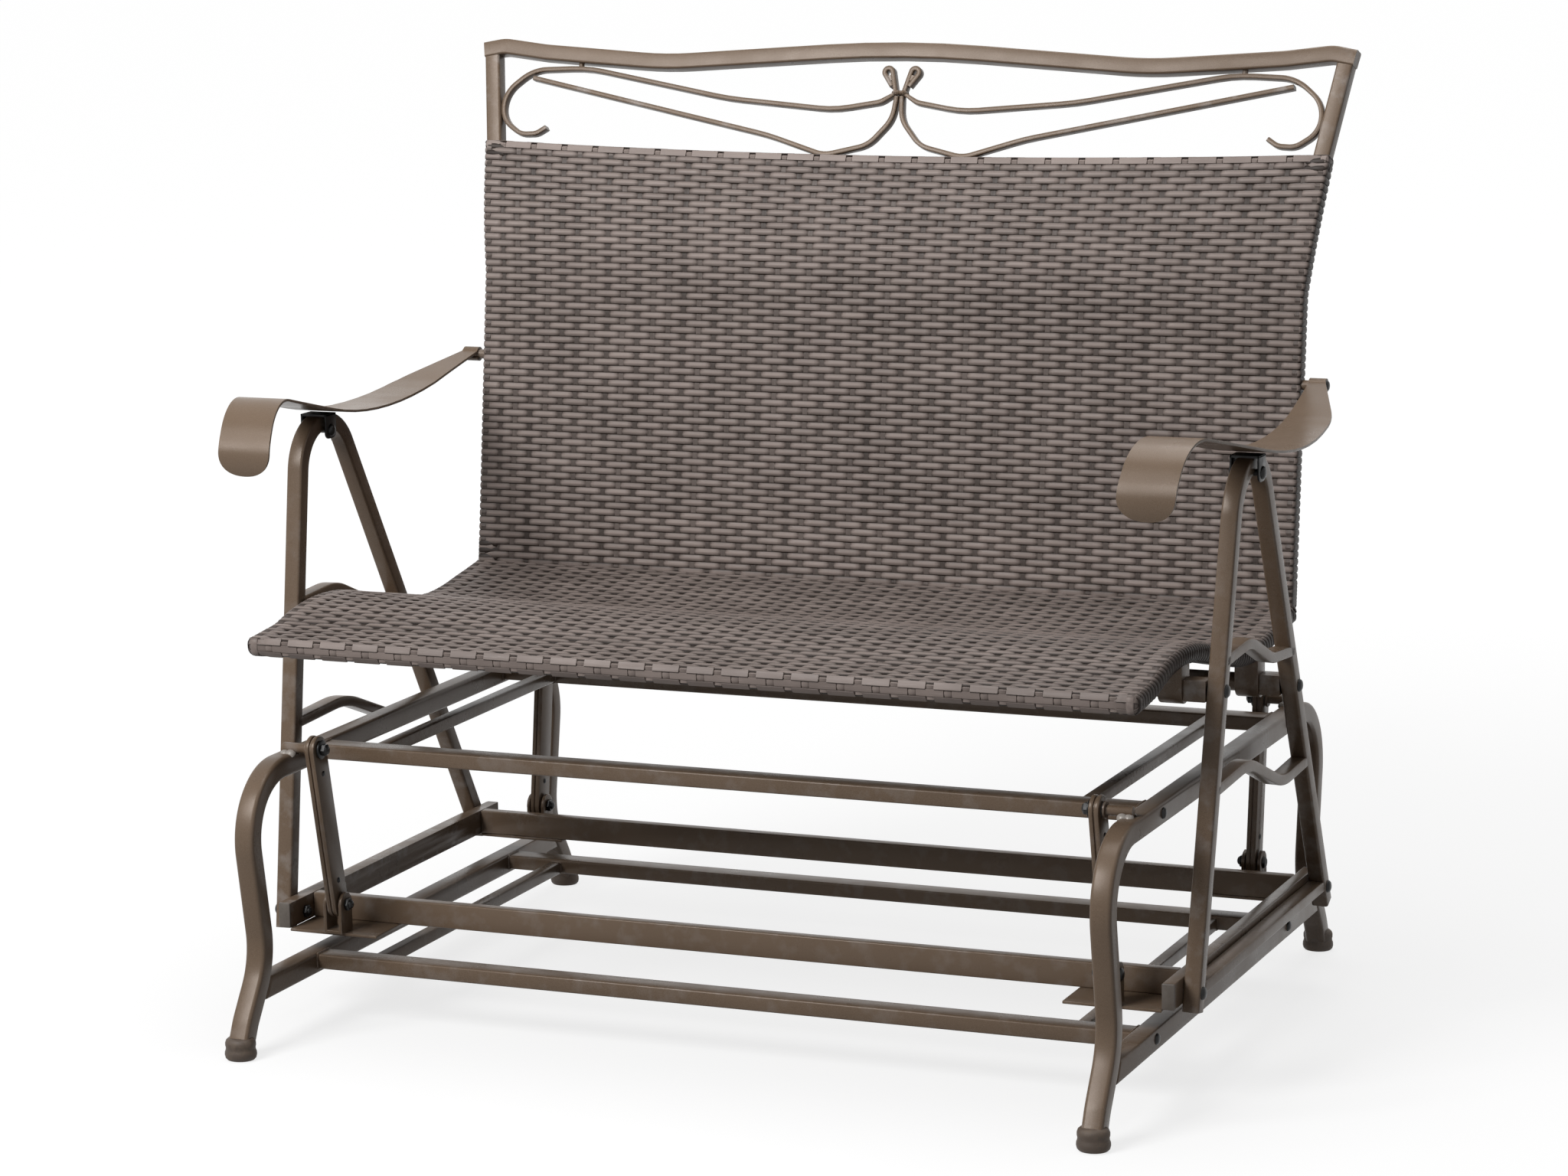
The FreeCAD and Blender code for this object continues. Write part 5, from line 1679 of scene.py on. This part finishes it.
        # painted shade: darker where it goes deep and along its sides
        tone = self.shade + 0.08 * self.row_tone[index] + 0.05 * np.sin(x / 60 + index * 1.9)
        sunk = np.clip((depth - strand.half) / (2 * self.swing), 0, 1)
        tone = tone * (1 - strand.sunk * sunk)
        tone = tone[:, None] * (1 - strand.sides * aside ** strand.sides_power)[None]
        faces = [face[::-1] for face in tube_faces(len(x), 8)]
        return Shape(points.reshape(-1, 3), faces, tone.ravel())

    def stake_depth(self, rows: np.ndarray, number: int) -> np.ndarray:
        """Depth of a stake's middle at places between the rows.

        Args:
            rows: places along the profile, counted in rows.
            number: the stake's number from the left.

        Returns:
            The depths.
        """
        depths = []
        for index in range(-1, self.rows + 1):
            over = (index + number) % 2 == 1
            if index in self.flat_rows:
                depths.append(self.tied[0] if over else self.tied[1])
            else:
                depths.append(self.middle_depth + (-0.5 if over else 0.5))
        depth = np.interp(rows, np.arange(-1, self.rows + 1), depths)
        if number in (0, len(self.stakes) - 1):
            return 1.9 + np.where(depth < self.middle_depth, -0.9, 0.9)
        return depth

    def stake(self, number: int) -> Shape:
        """One upright strand, which the weavers pass in front of and behind.

        Args:
            number: the stake's number from the left.

        Returns:
            The closed strand.
        """
        rows = np.arange(-1, 2 * self.rows) / 2
        v = self.first_row + rows * self.pitch
        x = np.full(len(v), self.stakes[number])
        centre = self.centres(x, self.stake_depth(rows, number), v)
        along = directions(centre)
        across = ACROSS - along * (along @ ACROSS)[:, None]
        outward = np.cross(across, along)
        a = np.array((0.5, 0.38, -0.38, -0.5, -0.38, 0.38)) * self.stake_wide
        b = np.array((0, 0.5, 0.5, 0, -0.5, -0.5)) * self.stake_thick
        points = (centre[:, None] + across[:, None] * a[None, :, None]
                  + outward[:, None] * b[None, :, None])
        # painted shade: a stake's edges and back are darker, and away from the flat rows, where it
        # lies deep in the weave, it is half as light
        near_flat = np.isin(np.round(rows), self.flat_rows)
        shade = np.array((0.5, 1, 1, 0.5, 0.6, 0.6))[None] ** np.where(near_flat, 0.4, 1)[:, None]
        plain = self.shade * 0.5 + 0.08 * math.sin(number * 3.7)
        tone = np.where(near_flat, self.shade, plain)[:, None] * shade
        return Shape(points.reshape(-1, 3), tube_faces(len(v), 6), tone.ravel())

    def build(self) -> None:
        """Make the weavers in parts, and the stakes."""
        bounds = [round(self.rows * part / self.parts) for part in range(self.parts + 1)]
        for part, (start, end) in enumerate(zip(bounds, bounds[1:]), start=1):
            shape = Shape.joined(self.row(index) for index in range(start, end))
            self.bench.add(f"{self.name}_weavers_{part}", shape, WEAVER, "glider",
                           (self.node,) if part == 1 else ())
        stakes = Shape.joined(self.stake(number) for number in range(len(self.stakes)))
        self.bench.add(f"{self.name}_stakes", stakes, STAKE, "glider")


@dataclass
class Back(Assembly):
    """Uprights, crest rail and woven panel of the back.

    Attributes:
        upright: X, Y and Z of the right upright's foot, knee and top.
        upright_top: Z at which the upright ends under the crest rail.
        knee_radius: bend radius at the knee.
        tube: side of the uprights' square tube.
        slope: how far the back leans for each step up, above the knee.
        knee: Y and Z of the sloping plane's lowest line.
        crest: right half of the crest rail: X, Z and bend radius.
        crest_tall: height of the crest rail.
        weave_low, weave_high: Z of the woven panel's lower and upper edge.
        sag, sag_from: how far the middle of its upper edge hangs, and Z from which it does.
        thick, edge_round: thickness of the panel, and radius of its lower and upper edge.
        half, corner_half: half its width below the knee and at its top.
        flare_from: Z from which it widens.
        behind: how far the weave goes on behind an edge.
        pitch: distance between two weavers.
    """

    upright: tuple[Corner, ...] = (
        (528.5, 256.7, 455), (528.5, 308, 885), (566.0, 389.4, 1112))
    upright_top: float = 1105.0
    knee_radius: float = 600.0
    tube: float = 20.0
    slope: float = 0.3586
    knee: Pair = (308.0, 885.0)
    crest: tuple[Corner, ...] = ((577, 1112.5, 0), (549, 1117.5, 45), (490, 1110.5, 160),
                                 (320, 1099.5, 500), (0, 1120, 1500))
    crest_tall: float = 20.0
    weave_low: float = 466.0
    weave_high: float = 1001.0
    sag: float = 11.0
    sag_from: float = 850.0
    thick: float = 25.0
    edge_round: float = 6.0
    half: float = 541.0
    corner_half: float = 559.2
    flare_from: float = 840.0
    behind: float = 36.0
    pitch: float = 8.65

    def plane(self) -> Matrix:
        """The sloping plane above the knee: x across, y up the slope, z to the front."""
        turn = Matrix.Rotation(-math.atan(self.slope), 4, "X") @ Matrix.Rotation(math.pi / 2, 4, "X")
        return Matrix.Translation((0, *self.knee)) @ turn

    def up_slope(self, z: float) -> float:
        """Distance up the slope from the knee to a height."""
        return (z - self.knee[1]) * math.hypot(1, self.slope)

    def build(self) -> None:
        """Make the uprights, the crest rail and the weave."""
        line = rounded_line(self.upright, (0, self.knee_radius, 0), 1.5)
        line = line[line[:, 2] < self.upright_top]
        last = np.array(self.upright[2]) - np.array(self.upright[1])
        line = np.vstack((line, line[-1] + last / last[2] * (self.upright_top - line[-1][2])))
        tube = rounded_section(self.tube, self.tube, 2.8, 4)
        post = swept(line, ACROSS, tube)
        rows = [(x, self.up_slope(z), radius) for x, z, radius in self.crest]
        flat = bend_line(rows, mirrored=True, step=2)
        rail = swept(np.column_stack((flat, np.zeros(len(flat)))), (0, 0, 1),
                     rounded_section(self.tube, self.crest_tall, 2.6, 4)).placed(self.plane())
        for side in Side:
            self.bench.add(f"back_post_{side.word}", post.on(side), POWDER, "glider",
                           (f"back_upright_{side.word}",))
        self.bench.add("waved_crest_rail", rail, POWDER, "glider", ("crest_rail",))
        self.weave()

    def profile(self) -> np.ndarray:
        """Outer profile of the woven panel.

        Returns:
            Its points in Y and Z, from behind its foot round to behind its top.
        """
        centre = rounded_line([point[1:] for point in self.upright], (0, self.knee_radius, 0), 1)
        extra = centre[-1] + (centre[-1] - centre[-2])
        centre = np.vstack((centre, extra))
        heights = np.append(np.arange(self.weave_low, self.weave_high, 4.0), self.weave_high)
        mid = np.column_stack((np.interp(heights, centre[:, 1], centre[:, 0]), heights))
        along = directions(mid)
        ahead = np.column_stack((-along[:, 1], along[:, 0])) * self.thick / 2
        front, rear = mid + ahead, mid - ahead
        low = rear[rear[:, 1] < self.weave_low + self.behind][::-1]
        high = rear[rear[:, 1] > self.weave_high - self.behind][::-1]
        corners = np.vstack((low, front, high))
        radii = np.zeros(len(corners))
        for index in (len(low) - 1, len(low), len(low) + len(front) - 1, len(low) + len(front)):
            radii[index] = self.edge_round
        keep = np.ones(len(corners), bool)
        for index in np.flatnonzero(radii):
            for near in (index - 1, index + 1):
                if radii[near] == 0 and np.linalg.norm(corners[near] - corners[index]) < 9:
                    keep[near] = False
        corners, radii = corners[keep], radii[keep]
        pieces = [corners[0]]
        for index in range(1, len(corners) - 1):
            if radii[index]:
                bend = rounded_line(corners[index - 1:index + 2], (0, radii[index], 0), 15)
                pieces.extend(bend[1:-1])
            else:
                pieces.append(corners[index])
        pieces.append(corners[-1])
        return np.array(pieces)

    def widen(self, z: np.ndarray) -> np.ndarray:
        """How much wider the panel is at a height than below the knee."""
        rise = np.clip((z - self.flare_from) / (self.weave_high - self.flare_from), 0, 1.2)
        return 1 + (self.corner_half / self.half - 1) * rise

    def drop(self, x: np.ndarray, z: np.ndarray) -> np.ndarray:
        """How far the panel's upper part hangs below a straight top edge.

        Args:
            x: places across the panel.
            z: their heights.

        Returns:
            The fall along Y and along Z at each place.
        """
        share = np.clip((z - self.sag_from) / (self.weave_high - self.sag_from), 0, 1)
        fall = self.sag * (1 - (x / self.half) ** 2) * share
        return np.column_stack((fall * self.slope, fall))

    def weave(self) -> None:
        """Make the woven panel."""
        line = self.profile()
        steps = distances(line)
        top, length = float(steps[np.argmax(line[:, 1])]), float(steps[-1])
        border = int(round((top - 13) / self.pitch))
        first = top - 6.5 - border * self.pitch
        rows = min(int((length - 8) / self.pitch), int((length - first - 3) / self.pitch) + 1)
        Weave(self.bench, "back", "back_weave", line, self.half, self.thick, first, rows,
              self.pitch, flat_rows=(border,), turned_rows=(border + 1, border + 2, 3, 4, 5),
              widen=self.widen, drop=self.drop).build()


@dataclass
class Seat(Assembly):
    """The contoured woven seat.

    Attributes:
        line: the line of its top: Y, Z and bend radius.
        thick: thickness of the seat.
        half: half its width.
        behind: how far the weave goes on under its front and rear edge.
        rear_y: Y of its rear edge.
        pitch: distance between two weavers.
        step: distance between two points of the profile.
    """

    line: tuple[Corner, ...] = SEAT_LINE
    thick: float = 24.0
    half: float = 545.0
    behind: float = 36.0
    rear_y: float = 262.0
    pitch: float = 8.65
    step: float = 4.0

    def profile(self) -> np.ndarray:
        """Outer profile of the seat.

        Returns:
            Its points in Y and Z, from under the front edge, over the top, to under the rear edge.
        """
        top = bend_line(self.line, step=1.5)
        top = resampled(top, np.arange(0, distances(top)[-1], self.step))
        top = top[top[:, 0] < self.rear_y]
        along = directions(top)
        under = top + np.column_stack((along[:, 1], -along[:, 0])) * self.thick
        count = int(self.behind / self.step)
        front, rear = under[:count][::-1], under[-count:][::-1]
        lip = rounded_line((front[-3], front[-1], top[0], top[2]), (0, 8, 7, 0), 15)
        heel = rounded_line((top[-3], top[-1], rear[0], rear[2]), (0, 7, 7, 0), 15)
        return np.vstack((front[:-3], lip, top[3:-3], heel, rear[3:]))

    def build(self) -> None:
        """Make the woven seat."""
        line = self.profile()
        steps = distances(line)
        front = int(np.argmin(line[:, 0] - line[:, 1] * 0.6))
        border = int(steps[front] / self.pitch)
        first = float(steps[front]) - border * self.pitch
        rows = int((steps[-1] - first - 3) / self.pitch) + 1
        # the seat's lower shade is painted shade on the same resin as the back's
        Weave(self.bench, "seat", "seat_weave", line, self.half, self.thick, first, rows,
              self.pitch, corner=8.0, weaver=Strand(1.95), middle_depth=4.1, swing=1.6,
              cover=1.16, stake_wide=9.5, shade=0.69, flat_rows=(border - 2, border - 1, border),
              turned_rows=tuple(range(border)) + tuple(range(rows - 7, rows)), parts=3).build()


@dataclass
class Scrollwork(Assembly):
    """Two flat bars a side, bent into scrolls between the crest rail and the weave.

    Attributes:
        back: the back, in whose sloping plane the bars lie.
        top: the upper bar's line from its curl to the collar: X, Z and bend radius.
        low: the lower bar's line from its upper end to the collar.
        bar: thickness of a bar.
        deep: size of a bar from front to rear.
        eye: X, Z and radius of the small loop over the collar.
        tail: how far the loop's end goes back to the collar, as a share of the way.
        plug_at, plug: where the loop's neck is filled, as a share of the way down, and how wide.
        studs, stud: X and Z of a stud, the way it points and its length, and the studs' radius.
        collar: Z, width, height and bead radius of the collar.
    """

    back: Back
    top: tuple[Corner, ...] = ((478, 1018, 0), (491, 1010, 20), (513, 1009, 26),
                               (541, 1027, 32), (542, 1060, 38), (506, 1089, 56),
                               (430, 1092, 200), (230, 1057, 400), (85, 1045, 160),
                               (24, 1055, 26), (5.0, 1066, 10))
    low: tuple[Corner, ...] = ((504, 1079, 0), (170, 1013, 300), (92, 990, 44),
                               (34, 1003, 40), (6, 1034, 40), (3.4, 1062, 0))
    bar: float = 6.0
    deep: float = 12.0
    eye: Corner = (17.6, 1091.0, 5.3)
    tail: float = 0.62
    plug_at: float = 0.28
    plug: float = 3.6
    studs: tuple[tuple[float, float, float, float, float], ...] = (
        (440, 1094, 0.15, 1, 9), (78, 993, 0, -1, 6), (541, 1043, 1, 0, 16))
    stud: float = 3.5
    collar: tuple[float, float, float, float] = (1066, 15, 13, 2.8)

    def flat(self, table: Sequence[Corner]) -> np.ndarray:
        """The line of a bar in the sloping plane, from its corners across and in height."""
        return bend_line([(x, self.back.up_slope(z), radius) for x, z, radius in table], step=6)

    def curled(self) -> np.ndarray:
        """The line of the top bar, which ends in a loop round a small eye.

        Returns:
            The points in the sloping plane.
        """
        line = self.flat(self.top)
        x, z, radius = self.eye
        centre = np.array((x, self.back.up_slope(z)))
        tie = line[-1]
        reach = centre - tie
        lean = math.atan2(reach[1], reach[0])
        spread = math.asin(radius / float(np.linalg.norm(reach)))
        first, last = lean + spread + math.pi / 2, lean - spread - math.pi / 2
        angles = np.linspace(first, last, 30)
        loop = centre + radius * np.column_stack((np.cos(angles), np.sin(angles)))
        tail = loop[-1] + (tie - loop[-1]) * self.tail
        return np.vstack((line, loop, tail))

    def flat_bar(self, line: np.ndarray) -> Shape:
        """One bar in the sloping plane."""
        line = np.column_stack((line, np.zeros(len(line))))
        return swept(line, (0, 0, 1), rounded_section(self.deep, self.bar, 1.3, 2))

    def build(self) -> None:
        """Make the scrolls, their studs and the collar."""
        plane = self.back.plane()
        curled = self.curled()
        eye = np.array((self.eye[0], self.back.up_slope(self.eye[1])))
        fill = eye + (self.flat(self.top)[-1] - eye) * self.plug_at
        plug = turned((*fill, -self.deep / 2), (0, 0, 1),
                      ((self.plug, 0.5), (self.plug, self.deep - 0.5)), 20)
        bars = (self.flat_bar(curled), self.flat_bar(self.flat(self.low)), plug)
        right = Shape.joined(bars).placed(plane)
        for side in Side:
            self.bench.add(f"scroll_bars_{side.word}", right.on(side), POWDER, "glider",
                           (f"scroll_{side.word}",))
        pegs = []
        for x, z, dx, dy, reach in self.studs:
            pegs.append(turned((x, self.back.up_slope(z), 0), (dx, dy, 0),
                               ((self.stud, 0), (self.stud, reach)), 20).placed(plane))
        z, wide, tall, bead = self.collar
        seam = square_seam((0, self.back.up_slope(z), 0), 1, wide, tall)
        collar = weld_bead(seam, bead).placed(plane)
        self.bench.add("scroll_studs", Shape.joined((Shape.joined(pegs).both(), collar)), POWDER,
                       "glider", ("scroll_studs_and_collar",))


# The studio


@dataclass(frozen=True)
class Lamp:
    """A large square lamp.

    Attributes:
        name: its name.
        place: where it hangs, in metres.
        target: the point that it faces, in metres.
        size: its side, in metres.
        power: its power in watts.
    """

    name: str
    place: Corner
    target: Corner
    size: float
    power: float

    def hang(self) -> None:
        """Put the lamp into the scene."""
        light = bpy.data.lights.new(self.name, "AREA")
        light.size = self.size
        light.energy = self.power
        lamp = bpy.data.objects.new(self.name, light)
        bpy.context.scene.collection.objects.link(lamp)
        lamp.location = self.place
        ahead = Vector(self.target) - Vector(self.place)
        lamp.rotation_euler = ahead.to_track_quat("-Z", "Y").to_euler()


@dataclass
class Studio:
    """A pale floor, soft light and the camera.

    Attributes:
        camera_at: where the camera stands.
        azimuth, elevation, roll: how it is turned, in degrees.
        focal: its focal length in pixels of the frame.
        middle: the picture's optical middle, in pixels from its upper left corner.
        frame: width and height of the picture in pixels.
        sensor: width of the camera's sensor.
        far: how far it sees, in metres.
        lamps: the lamps.
        floor_reach, floor_low: half the floor's side and its depth under the feet, in metres.
        floor_grey: colour of the floor.
        glow: strength of the floor's own white, where the bench stands and far away.
        glow_reach: where the first of these ends and the second starts, in metres.
        sky, sky_seen: strength of the light from all round, and of the white that is seen.
    """

    camera_at: Corner = (1991.4, -4811.5, 1454.7)
    azimuth: float = 22.625
    elevation: float = 10.28
    roll: float = 0.917
    focal: float = 5825.0
    middle: Pair = (1022.2, 765.7)
    frame: tuple[int, int] = (2048, 1536)
    sensor: float = 36.0
    far: float = 200.0
    lamps: tuple[Lamp, ...] = (Lamp("key", (-1.5, -3.1, 2.9), (0.1, 0.1, 0.5), 1.8, 150),
                               Lamp("top", (0.1, 0.4, 3.6), (0.0, 0.1, 0.4), 2.4, 70))
    floor_reach: float = 60.0
    floor_low: float = 0.0003
    floor_grey: Colour = (0.23, 0.23, 0.23)
    glow: Pair = (0.78, 0.97)
    glow_reach: Pair = (0.8, 4.0)
    sky: float = 0.11
    sky_seen: float = 1.0

    def build(self) -> None:
        """Set up everything that is not the bench."""
        bpy.context.scene.view_settings.view_transform = "Standard"
        self.floor()
        self.world()
        for lamp in self.lamps:
            lamp.hang()
        self.camera()

    def floor(self) -> None:
        """A wide pale floor that keeps the bench's shadow."""
        reach, low = self.floor_reach, -self.floor_low
        mesh = bpy.data.meshes.new("floor")
        mesh.from_pydata([(-reach, -reach, low), (reach, -reach, low), (reach, reach, low),
                          (-reach, reach, low)], [], [(0, 1, 2, 3)])
        floor = bpy.data.objects.new("floor", mesh)
        bpy.context.scene.collection.objects.link(floor)
        mixer = Mixer(bpy.data.materials.new("pale_floor"))
        matt = mixer.node("BsdfDiffuse", {"Color": (*self.floor_grey, 1)}).outputs[0]
        spot = mixer.node("TexCoord").outputs["Object"]
        away = mixer.node("VectorMath", {"0": spot}, operation="LENGTH").outputs["Value"]
        glow = mixer.node("Emission", {
            "Color": (1, 1, 1, 1),
            "Strength": mixer.band(away, *self.glow_reach, *self.glow)}).outputs[0]
        both = mixer.node("AddShader", {"0": matt, "1": glow}).outputs[0]
        mixer.close(mixer.node("MixShader", {"0": mixer.seen(), "1": matt, "2": both}))
        mesh.materials.append(mixer.owner)

    def world(self) -> None:
        """Even light from all round; the camera and reflections see white."""
        world = bpy.data.worlds.new("studio")
        bpy.context.scene.world = world
        mixer = Mixer(world)
        sky, seen = (mixer.node("Background", {"Color": (1, 1, 1, 1), "Strength": strength})
                     for strength in (self.sky, self.sky_seen))
        mixer.close(mixer.node("MixShader", {"0": mixer.seen(), "1": sky.outputs[0],
                                             "2": seen.outputs[0]}))

    def camera(self) -> None:
        """The camera at the photograph's viewing angle."""
        azimuth, elevation, roll = (math.radians(angle)
                                    for angle in (self.azimuth, self.elevation, self.roll))
        ahead = Vector((-math.sin(azimuth) * math.cos(elevation),
                        math.cos(azimuth) * math.cos(elevation), -math.sin(elevation)))
        right = Vector((math.cos(azimuth), math.sin(azimuth), 0))
        down = ahead.cross(right)
        across = right * math.cos(roll) + down * math.sin(roll)
        fall = down * math.cos(roll) - right * math.sin(roll)
        lens = bpy.data.cameras.new("camera")
        wide, tall = self.frame
        lens.sensor_width = self.sensor
        lens.lens = self.focal * self.sensor / wide
        lens.shift_x = (wide / 2 - self.middle[0]) / wide
        lens.shift_y = (self.middle[1] - tall / 2) / wide
        lens.clip_end = self.far
        camera = bpy.data.objects.new("camera", lens)
        bpy.context.scene.collection.objects.link(camera)
        turn = Matrix((across, -fall, -ahead)).transposed().to_4x4()
        camera.matrix_world = Matrix.Translation(Vector(self.camera_at) * MM) @ turn
        bpy.context.scene.camera = camera


def finish_for(node: str) -> Finish:
    """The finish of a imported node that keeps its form.

    Args:
        node: the node's name.

    Returns:
        Its finish.
    """
    if node.startswith("link_bushes"):
        return NYLON
    if "weave" in node:
        return WEAVER
    return POWDER


def main() -> None:
    """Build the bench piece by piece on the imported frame."""
    logging.basicConfig(level=logging.INFO, format="%(name)s %(message)s")
    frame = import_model()
    bench = Bench(frame["nodes"], frame["record"]["behaviour"]["bodies"])
    Studio().build()
    back = Back(bench)
    assemblies: tuple[Assembly, ...] = (
        Base(bench), Pivots(bench), Links(bench), GliderFrame(bench), Armrest(bench), back,
        Seat(bench), Scrollwork(bench, back))
    for assembly in assemblies:
        assembly.build()
    bench.dress(finish_for)
    log.info("%d pieces placed", len(bench.made))


if __name__ == "__main__":
    main()
